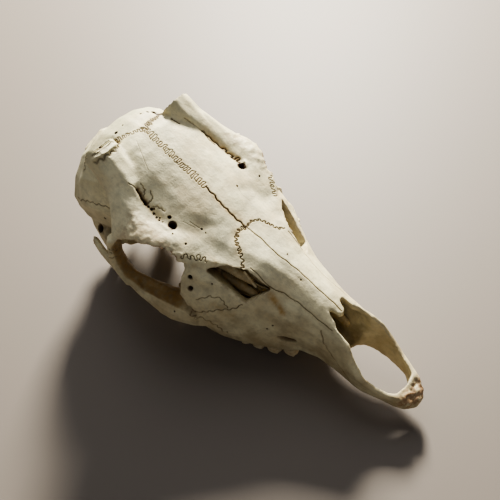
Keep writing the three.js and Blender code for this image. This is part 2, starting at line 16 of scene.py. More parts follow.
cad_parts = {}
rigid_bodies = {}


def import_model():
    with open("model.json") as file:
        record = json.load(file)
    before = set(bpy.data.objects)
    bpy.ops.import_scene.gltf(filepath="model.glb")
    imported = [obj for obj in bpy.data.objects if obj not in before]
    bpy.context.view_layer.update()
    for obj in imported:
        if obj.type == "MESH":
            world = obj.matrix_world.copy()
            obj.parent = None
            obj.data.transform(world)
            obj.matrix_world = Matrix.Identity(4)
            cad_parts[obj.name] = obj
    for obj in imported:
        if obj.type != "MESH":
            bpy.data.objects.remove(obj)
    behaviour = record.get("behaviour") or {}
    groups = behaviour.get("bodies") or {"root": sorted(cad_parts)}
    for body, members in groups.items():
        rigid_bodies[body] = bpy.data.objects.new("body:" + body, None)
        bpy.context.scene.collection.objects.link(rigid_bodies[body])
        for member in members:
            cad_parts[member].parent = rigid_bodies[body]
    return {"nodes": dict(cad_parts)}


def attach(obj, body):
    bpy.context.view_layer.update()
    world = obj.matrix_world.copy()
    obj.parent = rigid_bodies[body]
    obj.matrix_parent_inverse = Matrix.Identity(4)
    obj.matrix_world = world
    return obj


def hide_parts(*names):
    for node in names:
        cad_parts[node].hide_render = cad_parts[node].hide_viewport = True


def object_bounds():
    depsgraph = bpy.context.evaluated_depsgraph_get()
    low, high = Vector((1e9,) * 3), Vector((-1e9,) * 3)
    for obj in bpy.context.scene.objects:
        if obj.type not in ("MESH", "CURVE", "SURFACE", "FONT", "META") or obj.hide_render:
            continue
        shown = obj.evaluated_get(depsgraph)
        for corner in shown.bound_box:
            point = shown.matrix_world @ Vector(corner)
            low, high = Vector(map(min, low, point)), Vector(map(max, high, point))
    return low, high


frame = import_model()
CAD_BOX = [list(corner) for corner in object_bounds()]

MM = 0.001
FRONT = 2.0  # where the muzzle starts, back from the datum
MIDDLE = FRONT - CAD_BOX[0][1] / MM
TO_FRAME = Matrix.Translation((0, -MIDDLE * MM, 0)) @ Matrix.Scale(MM, 4)
TO_SKULL = TO_FRAME.inverted()

VOXEL = 0.6  # spacing of the skull's surface before it is refined
CUT = 0.3  # width of the thin cuts between the solids of the bones
LEFT, RIGHT = 1, -1
BOTH = (LEFT, RIGHT)
LETTERS = {LEFT: "l", RIGHT: "r"}  # as the names of the bones end


# ---------------------------------------------------------------- general tools

def deselect_all():
    if bpy.context.object and bpy.context.object.mode != "OBJECT":
        bpy.ops.object.mode_set(mode="OBJECT")
    for thing in bpy.data.objects:
        thing.select_set(False)


def activate(piece):
    deselect_all()
    piece.select_set(True)
    bpy.context.view_layer.objects.active = piece


def apply_modifier(piece, kind, **values):
    activate(piece)
    modifier = piece.modifiers.new(kind.title(), kind)
    for key, value in values.items():
        setattr(modifier, key, value)
    bpy.ops.object.modifier_apply(modifier=modifier.name)


def in_edit_mode(piece, *steps):
    activate(piece)
    bpy.ops.object.mode_set(mode="EDIT")
    for step in steps:
        step()
    bpy.ops.object.mode_set(mode="OBJECT")


def select_everything():
    bpy.ops.mesh.select_all(action="SELECT")


def new_piece(name, points, faces):
    mesh = bpy.data.meshes.new(name)
    mesh.from_pydata([tuple(p) for p in points], [], faces)
    mesh.validate()
    piece = bpy.data.objects.new(name, mesh)
    bpy.context.scene.collection.objects.link(piece)
    return piece


def copy_piece(source, name):
    piece = source.copy()
    piece.data = source.data.copy()
    piece.name = name
    bpy.context.scene.collection.objects.link(piece)
    return piece


def joined(pieces, name):
    deselect_all()
    for piece in pieces:
        piece.select_set(True)
    bpy.context.view_layer.objects.active = pieces[0]
    if len(pieces) > 1:
        bpy.ops.object.join()
    pieces[0].name = name
    return pieces[0]


def set_mask(piece, name, values):
    """Keeps a value for each point of a piece, for its material to read."""
    attribute = piece.data.attributes.new(name, "FLOAT", "POINT")
    attribute.data.foreach_set("value", values.astype(np.float32))


def boolean(piece, tool, operation, keep_tool=False):
    apply_modifier(piece, "BOOLEAN", object=tool, operation=operation, solver="MANIFOLD")
    if not keep_tool:
        bpy.data.objects.remove(tool)


def smoothstep(low, high, value):
    t = np.clip((value - low) / (high - low), 0, 1)
    return t * t * (3 - 2 * t)


def mix(a, b, t):
    return a + (b - a) * t


# ---------------------------------------------------------------- the surface as arrays

class Skin:
    """The points of a piece's surface, with what is needed to smooth and carve them."""

    def __init__(self, piece):
        self.piece = piece
        mesh = piece.data
        self.count = len(mesh.vertices)
        self.points = self.read("vertices", "co", 3)
        edges = np.empty(len(mesh.edges) * 2, np.int32)
        mesh.edges.foreach_get("vertices", edges)
        self.a, self.b = edges.reshape(-1, 2).T
        self.links = np.maximum(np.bincount(self.a, minlength=self.count)
                                + np.bincount(self.b, minlength=self.count), 1)

    def read(self, part, key, width):
        values = np.empty(self.count * width, np.float32)
        getattr(self.piece.data, part).foreach_get(key, values)
        return values.reshape(-1, width).astype(np.float64)

    def write(self):
        self.piece.data.vertices.foreach_set("co", self.points.astype(np.float32).ravel())
        self.piece.data.update()

    def normals(self):
        self.write()
        return self.read("vertex_normals", "vector", 3)

    def around(self, values):
        """The mean of each point's neighbours."""
        total = np.empty_like(values)
        for column in range(values.shape[1]):
            total[:, column] = (np.bincount(self.a, values[self.b, column], self.count)
                                + np.bincount(self.b, values[self.a, column], self.count))
        return total / self.links[:, None]

    def blurred(self, values, times):
        for _ in range(times):
            values = 0.5 * values + 0.5 * self.around(values)
        return values

    def relax(self, times, weight=1.0, give=0.6, take=-0.61):
        """Smooths out what is short, and keeps what is long, by steps in and out again."""
        weight = np.broadcast_to(weight, (self.count,))[:, None]
        for _ in range(times):
            for step in (give, take):
                self.points += step * weight * (self.around(self.points) - self.points)

    def tree(self):
        tree = KDTree(self.count)
        for i, point in enumerate(self.points):
            tree.insert(point, i)
        tree.balance()
        return tree


# ---------------------------------------------------------------- the whole skull, first in one

# The edge of the tooth sockets, [back, up], and how far out the teeth stand.
SOCKETS = [(60, 14.5), (64, 13.4), (72, 11.4), (80, 10), (92, 9), (104, 8.8), (116, 9.3), (126, 10.5)]
SOCKET_OUT = (6, 34)
BELOW_TEETH = [(126, -5), (60, -5)]

# The supraorbital foramen, a shaft down through the brow: its middle, [out, back]. A plug of bone closes it
# near the roof of the orbit, so that it ends blind, and its walls are painted near black as painted shade.
SHAFT = (24.5, 127.5)
SHAFT_RADIUS = 1.9
PLUG_RADIUS = 2.6
PLUG_LOW, PLUG_HIGH = 62.8, 64.8
PLUG_SIDES = 24

# The notch that parts the two prongs of each nasal, as an outline seen from above.
NASAL_NOTCHES = {
    "nasal_r": [(-1.4, 38), (-2.4, 49), (-3.6, 55.4), (-5, 50.5), (-7.6, 38)],
    "nasal_l": [(2.2, 38), (6.4, 38), (6.6, 47), (5.6, 54.6), (4, 49.5)],
}
NOTCH_HEIGHTS = (36, 60)


def prism(points):
    """A straight-sided solid between an outline and its copy, which follows it in the points."""
    count = len(points) // 2
    faces = [tuple(range(count)), tuple(reversed(range(count, 2 * count)))]
    faces += [(i, i + count, (i + 1) % count + count, (i + 1) % count) for i in range(count)]
    return facing_out(new_piece("prism", points, faces))


def side_prism(outline, low, high):
    """A prism over an outline seen from the side, [back, up], between two places outwards."""
    return prism([(out, back, up) for out in (low, high) for back, up in outline])


def plan_prism(outline, low, high):
    """A prism over an outline seen from above, [out, back], between two heights."""
    return prism([(out, back, up) for up in (low, high) for out, back in outline])


def rod(start, end, radius, sides):
    """A closed cylinder from one place to another."""
    start, end = Vector(start), Vector(end)
    deselect_all()
    bpy.ops.mesh.primitive_cylinder_add(vertices=sides, radius=radius, depth=(end - start).length,
                                        location=(start + end) / 2,
                                        rotation=(end - start).to_track_quat("Z", "Y").to_euler())
    piece = bpy.context.object
    deselect_all()
    piece.select_set(True)
    bpy.ops.object.transform_apply(location=True, rotation=True, scale=True)
    return piece


def facing_out(piece):
    """Turns the faces of a closed piece outwards."""
    in_edit_mode(piece, select_everything, lambda: bpy.ops.mesh.normals_make_consistent(inside=False))
    return piece


def bare_copies():
    """The solids of the bones, in skull space, without their teeth."""
    copies = []
    for name, node in frame["nodes"].items():
        copy = copy_piece(node, "bare_" + name)
        copy.parent = None
        copy.data.transform(TO_SKULL)
        in_edit_mode(copy, select_everything, lambda: bpy.ops.mesh.remove_doubles(threshold=0.001))
        if name.startswith("maxilla"):
            side = LEFT if name.endswith("l") else RIGHT
            low, high = sorted(side * out for out in SOCKET_OUT)
            boolean(copy, side_prism(SOCKETS + BELOW_TEETH, low, high), "DIFFERENCE")
        if name in NASAL_NOTCHES:
            boolean(copy, plan_prism(NASAL_NOTCHES[name], *NOTCH_HEIGHTS), "DIFFERENCE")
        copies.append(copy)
    return copies


def whole_skull():
    """One closed, even surface over all the bones."""
    plugs = []
    for side in BOTH:
        out, back = side * SHAFT[0], SHAFT[1]
        plugs.append(rod((out, back, PLUG_LOW), (out, back, PLUG_HIGH), PLUG_RADIUS, PLUG_SIDES))
    skull = joined(bare_copies() + plugs, "skull")
    skull.data.materials.clear()
    apply_modifier(skull, "DISPLACE", strength=CUT, mid_level=0)
    apply_modifier(skull, "REMESH", mode="VOXEL", voxel_size=VOXEL)
    return skull


BROAD = (0.86, 0.97)  # how alike the normals round a point are, at an edge and on broad bone
EDGE_SHARE = 0.04  # how far an edge takes part in the smoothing
SMOOTHING = 110  # steps in and out again
SAW_DEPTH = 0.9  # of the bone under a saw cut that the smoothing leaves alone
SETTLE = 0.8  # the share of the cuts' width that is taken off the surface again


def smooth_facets(skull):
    """Rounds the facets away where the surface is broad, and keeps rims, edges and saw cuts."""
    skin = Skin(skull)
    skin.relax(4)
    mean_normal = skin.blurred(skin.normals(), 10)
    broad = smoothstep(*BROAD, np.linalg.norm(mean_normal, axis=1))
    broad = skin.blurred(broad[:, None], 6)[:, 0]
    weight = EDGE_SHARE + (1 - EDGE_SHARE) * broad
    weight *= 1 - saw_face(skin.points, SAW_DEPTH)
    skin.relax(SMOOTHING, weight, 0.6, -0.606)
    skin.relax(6, 1 - saw_face(skin.points, SAW_DEPTH))
    skin.points -= skin.normals() * CUT * SETTLE
    skin.write()


# The saw cuts across the pedicles: a place on each, and the direction that the cuts face.
SAW_CUTS = {LEFT: (23, 167.6, 93.6), RIGHT: (-23, 170.1, 97.1)}
SAW_FACING = np.array((0, 0.87, 0.49)) / np.linalg.norm((0, 0.87, 0.49))
SAW_REACH = 13


def saw_face(points, depth):
    """1 on the flat faces of the saw cuts, fading to 0 at a depth below them."""
    found = np.zeros(len(points))
    for place in SAW_CUTS.values():
        offset = points - np.array(place)
        below = np.abs(offset @ SAW_FACING)
        near = np.linalg.norm(offset, axis=1) < SAW_REACH
        found = np.maximum(found, np.where(near, 1 - smoothstep(0.4 * depth, depth, below), 0))
    return found


# ---------------------------------------------------------------- places on the skull

ABOVE, BELOW, BESIDE, BEHIND = 200, -30, 120, 260  # clear of the skull on each side

# The saw cuts are looked at square on: from so far back at the floor's height, less for a place that
# is higher, and from so far above the place.
SAW_LOOK_BACK, SAW_LOOK_SLOPE, SAW_LOOK_ABOVE = 291, 0.563, 39.4
SAW_LOOK = (0, -0.871, -0.491)

# Where a place is looked at from, as the place's two numbers turned into a start and a direction.
LOOKS = {
    "roof": lambda side, out, back: ((side * out, back, ABOVE), (0, 0, -1)),
    "side": lambda side, back, up: ((side * BESIDE, back, up), (-side, 0, 0)),
    "under": lambda side, out, back: ((side * out, back, BELOW), (0, 0, 1)),
    "hind": lambda side, out, up: ((side * out, BEHIND, up), (0, -1, 0)),
    "saw": lambda side, out, up: ((side * out, SAW_LOOK_BACK - SAW_LOOK_SLOPE * up, up + SAW_LOOK_ABOVE),
                                  SAW_LOOK),
}


class Ground:
    """The smooth surface that places are dropped on to."""

    def __init__(self, piece):
        self.tree = BVHTree.FromObject(piece, bpy.context.evaluated_depsgraph_get())

    def drop(self, look, side, place):
        origin, direction = LOOKS[look](side, *place)
        return self.tree.ray_cast(Vector(origin), Vector(direction))[0]

    def thickness(self, look, side, place):
        """How thick the bone is under a place, along the line that the place is looked at."""
        direction = Vector(LOOKS[look](side, *place)[1])
        start = self.drop(look, side, place)
        return self.tree.ray_cast(start + 0.01 * direction, direction)[3] or 1.0

    def course(self, look, side, places, swing=0.0, pitch=1.0, loops=0.0, seed=1):
        """A line over the surface through places, swinging to either side as a suture does."""
        flat = winding(places, swing, pitch, loops, seed)
        hits = [self.drop(look, side, place) for place in flat]
        hits = [hit for hit in hits if hit is not None]
        if look == "saw":
            hits = [hit for hit in hits if (hit - Vector(SAW_CUTS[side])).length < SAW_REACH]
        return hits


def spaced(places, step):
    """Places at an even step along a broken line, with the line's direction at each."""
    found = []
    for start, end in zip(places, places[1:]):
        start, end = np.array(start, float), np.array(end, float)
        length = np.linalg.norm(end - start)
        count = max(1, round(length / step))
        found += [(start + (end - start) * i / count, (end - start) / length) for i in range(count)]
    found.append((np.array(places[-1], float), found[-1][1]))
    return found


WINDING_STEP = 0.22  # between places along the line itself
REACHES = (0.5, 1.2)  # the shortest and longest loops, as a share of the swing
PACES = (0.75, 1.35)  # how closely they follow each other


def winding(places, swing, pitch, loops, seed):
    """Places along a line that swings to either side in uneven loops."""
    dice = random.Random(seed)
    step = WINDING_STEP / (1 + 2 * math.pi * swing / pitch)
    course, phase, reach, pace, lean = [], 0.0, swing, 1.0, 0.0
    for here, heading in spaced(places, step):
        across = np.array((-heading[1], heading[0]))
        before = math.sin(phase)
        phase += 2 * math.pi * pace * step / pitch
        if before * math.sin(phase) <= 0:
            reach = swing * dice.uniform(*REACHES)
            pace = dice.uniform(*PACES)
            lean = 3 * loops * dice.uniform(-1, 1)
        sway = reach * (math.sin(phase) + 0.12 * math.sin(3 * phase + seed))
        lead = pitch * (lean * math.sin(phase) ** 2 - loops * math.sin(2 * phase))
        course.append(here + across * sway + heading * lead)
    return course


# ---------------------------------------------------------------- sutures, cracks and holes

# Each course: from where it is seen, on which sides, its places, how far it swings and how often,
# its width and depth, and how far its loops swell beyond their necks, as a share of their pitch.
COURSES = [
    # the crown between the two frontals, knotted behind and open in front
    ("roof", (LEFT,), [(0.2, 166.4), (-0.7, 155), (-0.6, 140), (-0.3, 127.8)], 2.0, 2.1, 0.2, 0.45, 0.14),
    ("roof", (LEFT,), [(-0.3, 127.8), (-0.4, 124), (-1.0, 118.6), (-0.9, 111), (0, 104)],
     0.35, 4, 0.28, 1.0, 0),
    # the coronal suture, in front of the parietal
    ("roof", (RIGHT,), [(0, 166.8), (6.2, 170.6), (12.1, 173.6), (17, 173)], 1.4, 2.0, 0.2, 0.5, 0.12),
    ("roof", (LEFT,), [(0, 166.8), (6.9, 168.4), (13.2, 170.2), (18, 171)], 1.4, 2.0, 0.2, 0.5, 0.12),
    ("side", BOTH, [(148, 53), (151, 60), (155, 68), (158, 74)], 0.5, 2.6, 0.22, 0.5, 0),
    # frontal and nasal
    ("roof", (RIGHT,), [(0, 103.9), (4.5, 105.3), (8.6, 103), (11.2, 98.7), (14.2, 94.4), (16.6, 92.4)],
     0.8, 2.1, 0.24, 0.6, 0.1),
    ("roof", (LEFT,), [(0, 103.9), (4, 104.5), (7.7, 102.4), (9.2, 98), (10.6, 93.4), (13.4, 92.4)],
     0.5, 2.1, 0.22, 0.6, 0.1),
    # between the nasals, and along their outer edges
    ("roof", (LEFT,), [(0, 103.5), (0.6, 96), (-0.5, 86), (0.4, 72), (0, 60), (0, 48)],
     0.12, 7, 0.2, 0.55, 0),
    ("roof", BOTH, [(13.9, 90), (13.2, 80), (11.0, 72.7), (9.9, 64.8), (9.7, 56.1), (9.4, 46.5)],
     0.12, 7, 0.2, 0.5, 0),
    # premaxilla and maxilla
    ("side", BOTH, [(51, 39.4), (48.3, 33.4), (43.6, 27), (38, 21.6), (32, 14.5)], 0.25, 5, 0.22, 0.5, 0),
    # round the lacrimal
    ("side", BOTH, [(87, 42.4), (90.5, 39.9), (96, 38.8), (100.5, 37.2), (108, 34.2)],
     0.45, 3.2, 0.22, 0.5, 0),
    ("side", BOTH, [(105, 44.8), (100, 46.3), (95.5, 45.2), (92.4, 40.5)], 0.4, 3.4, 0.2, 0.45, 0),
    ("roof", BOTH, [(32, 115.4), (29.6, 112.4), (27.2, 110.4), (25.2, 106.5)], 1.1, 2.6, 0.2, 0.55, 0.08),
    # round the jugal
    ("side", BOTH, [(108, 34), (101, 31), (96, 27.6), (91.5, 22.5)], 0.6, 3.4, 0.22, 0.45, 0),
    ("side", BOTH, [(145.5, 51.6), (150, 50.6), (155.5, 49.8)], 0.5, 2, 0.22, 0.45, 0),
    ("side", (LEFT,), [(157, 41.5), (162, 38.4), (170, 36)], 0.4, 4, 0.22, 0.45, 0),
    # the side and back of the braincase
    ("side", BOTH, [(150, 54), (157, 59.6), (168, 61.6), (180, 59.4), (190.5, 55)], 0.45, 4.2, 0.24, 0.45, 0),
    ("roof", BOTH, [(0, 196.4), (8, 195.6), (15, 192), (22, 188.4), (27, 186)], 0.6, 2.6, 0.24, 0.5, 0.1),
    # underneath
    ("under", (LEFT,), [(0, 46), (0.2, 70), (0, 97)], 0.25, 3.5, 0.22, 0.5, 0),
    ("under", BOTH, [(0, 97), (6, 96), (10, 99), (13, 106)], 0.6, 2.4, 0.22, 0.5, 0.1),
    ("under", BOTH, [(0, 168.4), (4, 168.2), (8.4, 168.8)], 0.3, 2.4, 0.26, 0.5, 0),
    # the supraorbital groove on the right, with its slit and branches
    ("roof", (RIGHT,), [(23.9, 148.4), (24.3, 146.8), (25, 144.6), (25.4, 142.4)], 0.12, 3, 0.6, 2.4, 0),
    ("roof", (RIGHT,), [(24.8, 144.4), (21.6, 146.4), (20.8, 149.4)], 0.2, 2, 0.2, 0.45, 0),
    ("roof", (RIGHT,), [(25, 142.2), (21.8, 141.6), (20.2, 144.4)], 0.2, 2, 0.25, 0.5, 0),
    ("roof", (RIGHT,), [(24, 139.6), (22.6, 137.4), (22.2, 134.2)], 0.3, 2.4, 0.3, 0.4, 0),
    ("roof", (RIGHT,), [(25.6, 152), (24.6, 150), (23.9, 148.4)], 0.1, 3, 0.22, 0.6, 0),
    # the same groove on the left, cracked behind and knotted in front
    ("roof", (LEFT,), [(19.6, 159), (21.2, 154), (22.6, 150.4)], 0.12, 5, 0.2, 0.35, 0),
    ("roof", (LEFT,), [(22.6, 150.4), (24.4, 146.4), (25, 143.4), (25.4, 140)], 0.3, 3.6, 0.3, 0.95, 0),
    ("roof", (LEFT,), [(23.4, 150), (22.6, 146.4), (23.2, 143)], 0.3, 2.2, 0.24, 0.6, 0),
    ("roof", (LEFT,), [(25.4, 140), (26.2, 137), (25.4, 134.6), (26.3, 132), (25.9, 129.8)],
     0.9, 3.3, 0.26, 0.9, 0.1),
    # the lip in front of the saw cut on the right, and the scallops under it
    ("roof", (RIGHT,), [(16.4, 169.2), (19.5, 167.8), (23, 167.3), (26.5, 167.8), (29.6, 169.2)],
     0.05, 6, 0.24, 0.35, 0),
    ("roof", (RIGHT,), [(15.4, 167.2), (19, 165), (23, 164.3), (27, 165), (30.6, 167.2)],
     0.5, 3.4, 0.45, 0.45, 0),
    ("saw", BOTH, [(15, 92.2), (19, 93.6), (24, 93.2), (31, 91)], 0.15, 4, 0.3, 0.8, 0),
    ("saw", (RIGHT,), [(14.6, 96.6), (20, 97.4), (30, 94.6)], 0.2, 4, 0.4, 1.1, 0),
    # scratches
    ("roof", (RIGHT,), [(7.2, 164.7), (11.1, 157.2), (14.3, 150.7)], 0, 1, 0.15, 0.14, 0),
    ("roof", (RIGHT,), [(17.8, 122.7), (16.4, 116.9)], 0, 1, 0.16, 0.2, 0),
    ("roof", (RIGHT,), [(20, 125), (18, 119.5)], 0, 1, 0.14, 0.12, 0),
    ("roof", (LEFT,), [(12.9, 120), (11.6, 116), (12, 112)], 0, 1, 0.14, 0.12, 0),
]

# Each hole: from where it is seen, on which sides, its place, its radius and its depth.
HOLES = [
    ("roof", (RIGHT,), (22.6, 130.9), 0.85, 2.2), ("roof", (RIGHT,), (27.6, 124.4), 0.4, 1),
    ("roof", (LEFT,), (26.1, 127.4), 0.8, 1.6), ("roof", (RIGHT,), (25.5, 141), 0.5, 1.3),
    ("roof", (RIGHT,), (25.3, 139.4), 0.65, 1.6), ("roof", (RIGHT,), (24.5, 138.6), 0.45, 1),
    ("roof", (RIGHT,), (26, 137.4), 0.55, 1.4), ("roof", (RIGHT,), (26.4, 135.4), 0.5, 1.3),
    ("roof", (RIGHT,), (26.6, 133.6), 0.45, 1.1), ("roof", (RIGHT,), (25.6, 134.2), 0.35, 0.8),
    ("roof", (RIGHT,), (26.2, 131.9), 0.35, 0.9), ("roof", (RIGHT,), (26.8, 117.3), 0.55, 1.5),
    ("roof", (RIGHT,), (16.2, 117), 0.5, 1.1), ("roof", (LEFT,), (13.1, 120.2), 0.5, 1.2),
    ("roof", (RIGHT,), (16.3, 114.6), 0.35, 0.8), ("roof", (LEFT,), (26.6, 118), 0.5, 1.2),
    ("roof", (RIGHT,), (8.9, 177.2), 0.9, 0.9), ("roof", (RIGHT,), (3.6, 178), 0.5, 0.7),
    ("roof", (LEFT,), (14.2, 175), 1.2, 1.1), ("roof", (LEFT,), (11.6, 176.4), 0.8, 0.9),
    ("roof", (LEFT,), (17.6, 172.6), 0.9, 1.1), ("roof", (LEFT,), (8, 177.6), 0.6, 0.7),
    ("roof", (RIGHT,), (2.3, 69.9), 0.4, 1), ("roof", (LEFT,), (3.1, 82), 0.35, 0.8),
    ("side", BOTH, (75.1, 29.8), 0.45, 1.2), ("side", BOTH, (72.9, 32.6), 0.4, 1.2),
    ("side", BOTH, (110, 55), 1.0, 2.6), ("side", BOTH, (108.6, 49.6), 1.1, 2.6),
    ("side", BOTH, (100.6, 52.4), 0.35, 0.8), ("side", BOTH, (116, 31.5), 0.4, 0.9),
    ("side", BOTH, (181.5, 36), 2.1, 4.5), ("side", BOTH, (171.5, 52), 0.6, 1.2),
    ("side", BOTH, (139, 46), 1.7, 3), ("side", BOTH, (133, 39), 0.9, 2),
    ("under", BOTH, (9, 93), 0.9, 2.2), ("under", BOTH, (8.4, 87), 0.45, 1.2),
    ("under", BOTH, (10.6, 160), 1.4, 2.6), ("under", BOTH, (12.4, 187), 1.1, 2.4),
    ("hind", BOTH, (20, 52), 0.6, 1.4), ("hind", BOTH, (12, 58), 0.4, 0.9),
]

HOLE_SHARE = 0.7  # of the bone's thickness that a hole goes through at most

# Raised lines: from where, on which sides, their places, and their half width and height.
RIDGES = [
    ("side", BOTH, [(112, 60), (112.6, 53), (112.4, 46), (109.6, 38)], 0.9, 0.9),  # front rim of the orbit
    ("roof", (RIGHT,), [(24.8, 126.4), (27.6, 128), (27.6, 130.6)], 0.9, 0.35),
    ("roof", (RIGHT,), [(15.6, 168.4), (19, 166.4), (23, 165.8), (27, 166.4), (30.4, 168.4)], 0.8, 0.6),
    ("roof", (LEFT,), [(24.9, 126.4), (26.2, 125.9), (27.5, 126.7), (27.6, 128.4)], 0.55, 0.6),
    ("side", BOTH, [(93, 24.5), (101, 26.2), (112, 26), (124, 27)], 1.3, 0.7),  # where the masseter held
    ("side", BOTH, [(152, 60), (162, 69), (174, 73), (186, 69), (193, 60)], 1.2, 0.35),  # temporal line
    ("hind", (LEFT,), [(0, 66), (0, 60), (0, 50)], 1.1, 0.7),  # external occipital crest
    ("under", (LEFT,), [(0, 172), (0, 182), (0, 190)], 1.0, 0.5),
]

# Broad shallow channels: from where, on which sides, their places, and their half width and depth.
CHANNELS = [
    ("roof", (RIGHT,), [(23.6, 149), (25.2, 142), (26.2, 134)], 1.7, 0.55),
    ("roof", (LEFT,), [(20.6, 156), (23.8, 148), (25.2, 140), (26, 131)], 1.9, 0.9),
    ("roof", BOTH, [(15, 117), (19, 108), (17.5, 99)], 4.5, 0.7),
    ("side", BOTH, [(107, 51.5), (101, 49.5)], 3.4, 1.2),
    ("side", BOTH, [(178, 43.5), (176, 38), (172, 34)], 1.6, 0.8),
]

# Soft stains: from where, on which sides, their places, their radius and strength.
STAINS = [
    ("side", (RIGHT,), [(77.5, 47.6), (73, 44.6), (69.5, 41.4)], 1.7, 1.0),
    ("roof", (RIGHT,), [(1, 104.5), (5, 105.4), (9, 103), (12, 98)], 2.3, 0.6),
    ("roof", (LEFT,), [(0.5, 112), (0.6, 108), (1, 104.6), (5, 104.8)], 1.8, 0.5),
    ("roof", (LEFT,), [(-0.6, 124), (-1.2, 118), (-0.8, 110), (0, 105)], 1.2, 0.75),
    ("roof", (LEFT,), [(0.2, 166), (-0.7, 155), (-0.6, 140), (-0.3, 128)], 2.2, 0.5),
    ("roof", (RIGHT,), [(24.6, 106.4), (23.4, 103)], 2.6, 0.55),
    ("roof", BOTH, [(30.8, 110.4), (27, 106.4)], 2.0, 0.35),
    ("roof", (RIGHT,), [(24, 147), (25.4, 141), (26.4, 133)], 1.8, 0.45),
    ("roof", (LEFT,), [(24, 147), (25.4, 141), (26.4, 131)], 2.2, 0.55),
    ("side", BOTH, [(98, 42), (94, 38), (90, 36)], 3.0, 0.35),
]


class Carving:
    """What is cut into the skin: how deep at each point, how much stain it holds, and its dark mask, which is
    dirt in the sutures and painted shade in the holes.
    """

    def __init__(self, skin):
        self.skin = skin
        self.tree = skin.tree()
        self.depth = np.zeros(skin.count)
        self.dirt_and_shade = np.zeros(skin.count)
        self.stain = np.zeros(skin.count)

    def distances(self, course, reach):
        """The points within reach of a course, and how far each is from it."""
        nearest = {}
        for place in course:
            for _, index, distance in self.tree.find_range(place, reach):
                if distance < nearest.get(index, reach):
                    nearest[index] = distance
        return np.fromiter(nearest.keys(), int), np.fromiter(nearest.values(), float)

    def groove(self, course, width, depth):
        """A narrow groove, which holds more dirt the deeper it is, in bone that is stained beside it."""
        index, distance = self.distances(course, 4 * width)
        if len(index):
            dirt_and_shade = min(1, 0.15 + depth)
            self.depth[index] = np.maximum(self.depth[index], depth * np.exp(-(distance / width) ** 2))
            self.dirt_and_shade[index] = np.maximum(self.dirt_and_shade[index], dirt_and_shade * np.exp(-(distance / (1.4 * width)) ** 2))
            halo = 0.45 * dirt_and_shade * np.exp(-(distance / (2.6 * width)) ** 2)
            self.stain[index] = np.maximum(self.stain[index], halo)

    def hole(self, place, radius, depth):
        index, distance = self.distances([place], 2.2 * radius)
        if len(index):
            inside = 1 - smoothstep(0.65 * radius, 1.15 * radius, distance)
            self.depth[index] = np.maximum(self.depth[index], depth * inside)
            # painted shade: the hole is coloured near black inside, as the shade of a deep hole, also where
            # the pit is shallow
            dirt_and_shade = 1.3 * (1 - smoothstep(0.7, 1.35, distance / radius))
            self.dirt_and_shade[index] = np.maximum(self.dirt_and_shade[index], dirt_and_shade)

    def ridge(self, course, width, height):
        index, distance = self.distances(course, 2.6 * width)
        if len(index):
            self.depth[index] -= height * np.exp(-(distance / width) ** 2)

    def channel(self, course, width, depth):
        index, distance = self.distances(course, 2.6 * width)
        if len(index):
            self.depth[index] += depth * np.exp(-(distance / width) ** 2)
            self.dirt_and_shade[index] = np.maximum(self.dirt_and_shade[index], 0.12 * np.exp(-(distance / width) ** 2))

    def tint(self, course, radius, strength):
        index, distance = self.distances(course, 2.2 * radius)
        if len(index):
            spread = strength * np.exp(-(distance / radius) ** 2)
            self.stain[index] = np.maximum(self.stain[index], spread)


def all_courses(ground):
    """Every suture and crack as a line over the surface, with its width and depth."""
    found = []
    for number, (look, sides, places, swing, pitch, width, depth, loops) in enumerate(COURSES):
        for side in sides:
            course = ground.course(look, side, places, swing, pitch, loops, seed=7 * number + side)
            found.append((course, width, depth))
    return found


def all_holes(ground):
    """The middle of every hole on the surface, with its radius and a depth that leaves bone behind."""
    found = []
    for look, sides, place, radius, depth in HOLES:
        for side in sides:
            middle = ground.drop(look, side, place)
            if middle is not None:
                deepest = HOLE_SHARE * ground.thickness(look, side, place)
                found.append((middle, radius, min(depth, deepest)))
    return found


def refine_near(skull, courses, reach, holes):
    """Divides the faces beside the sutures and holes, so that they can hold a finer shape."""
    skin = Skin(skull)
    tree = skin.tree()
    near = np.zeros(skin.count, bool)
    for course, _, _ in courses:
        for place in course[::2]:
            near[[index for _, index, _ in tree.find_range(place, reach)]] = True
    for place, radius in holes:
        near[[index for _, index, _ in tree.find_range(place, radius + reach)]] = True
    activate(skull)
    mesh = skull.data
    flags = np.zeros(len(mesh.polygons), bool)
    for number, face in enumerate(mesh.polygons):
        flags[number] = near[face.vertices[0]] and near[face.vertices[2]]
    mesh.vertices.foreach_set("select", np.zeros(len(mesh.vertices), bool))
    mesh.edges.foreach_set("select", np.zeros(len(mesh.edges), bool))
    mesh.polygons.foreach_set("select", flags)
    bpy.context.tool_settings.mesh_select_mode = (False, False, True)
    in_edit_mode(skull, lambda: bpy.ops.mesh.subdivide(number_cuts=1))


def grain(points, size, seed=0):
    """Smooth random values from -1 to 1 that change over a given length."""
    cell = points / size + 31.7 * seed + 1000
    base = np.floor(cell).astype(np.int64)
    part = cell - base
    part = part * part * (3 - 2 * part)
    total = np.zeros(len(points))
    for corner in range(8):
        step = np.array([(corner >> axis) & 1 for axis in range(3)])
        key = (base + step) @ np.array((73856093, 19349663, 83492791))
        key = ((key ^ (key >> 13)) * 1274126177) & 0x7FFFFFFF
        weight = np.prod(np.where(step, part, 1 - part), axis=1)
        total += weight * (key / 0x3FFFFFFF - 1)
    return total


def mirrored(points):
    """The places with the right side of the skull laid over the left."""
    return np.stack((np.abs(points[:, 0]), points[:, 1], points[:, 2]), 1)


def within(points, centre, radius):
    """1 at a place, falling softly to 0 at a distance."""
    return 1 - smoothstep(0.35 * radius, radius, np.linalg.norm(points - np.array(centre), axis=1))


GAP_MIDDLE = (19.5, 93, 51)  # of the gap in front of the orbit
BROW = (37, 126, 68)
ORBIT_MIDDLE = (36, 129, 51.5)


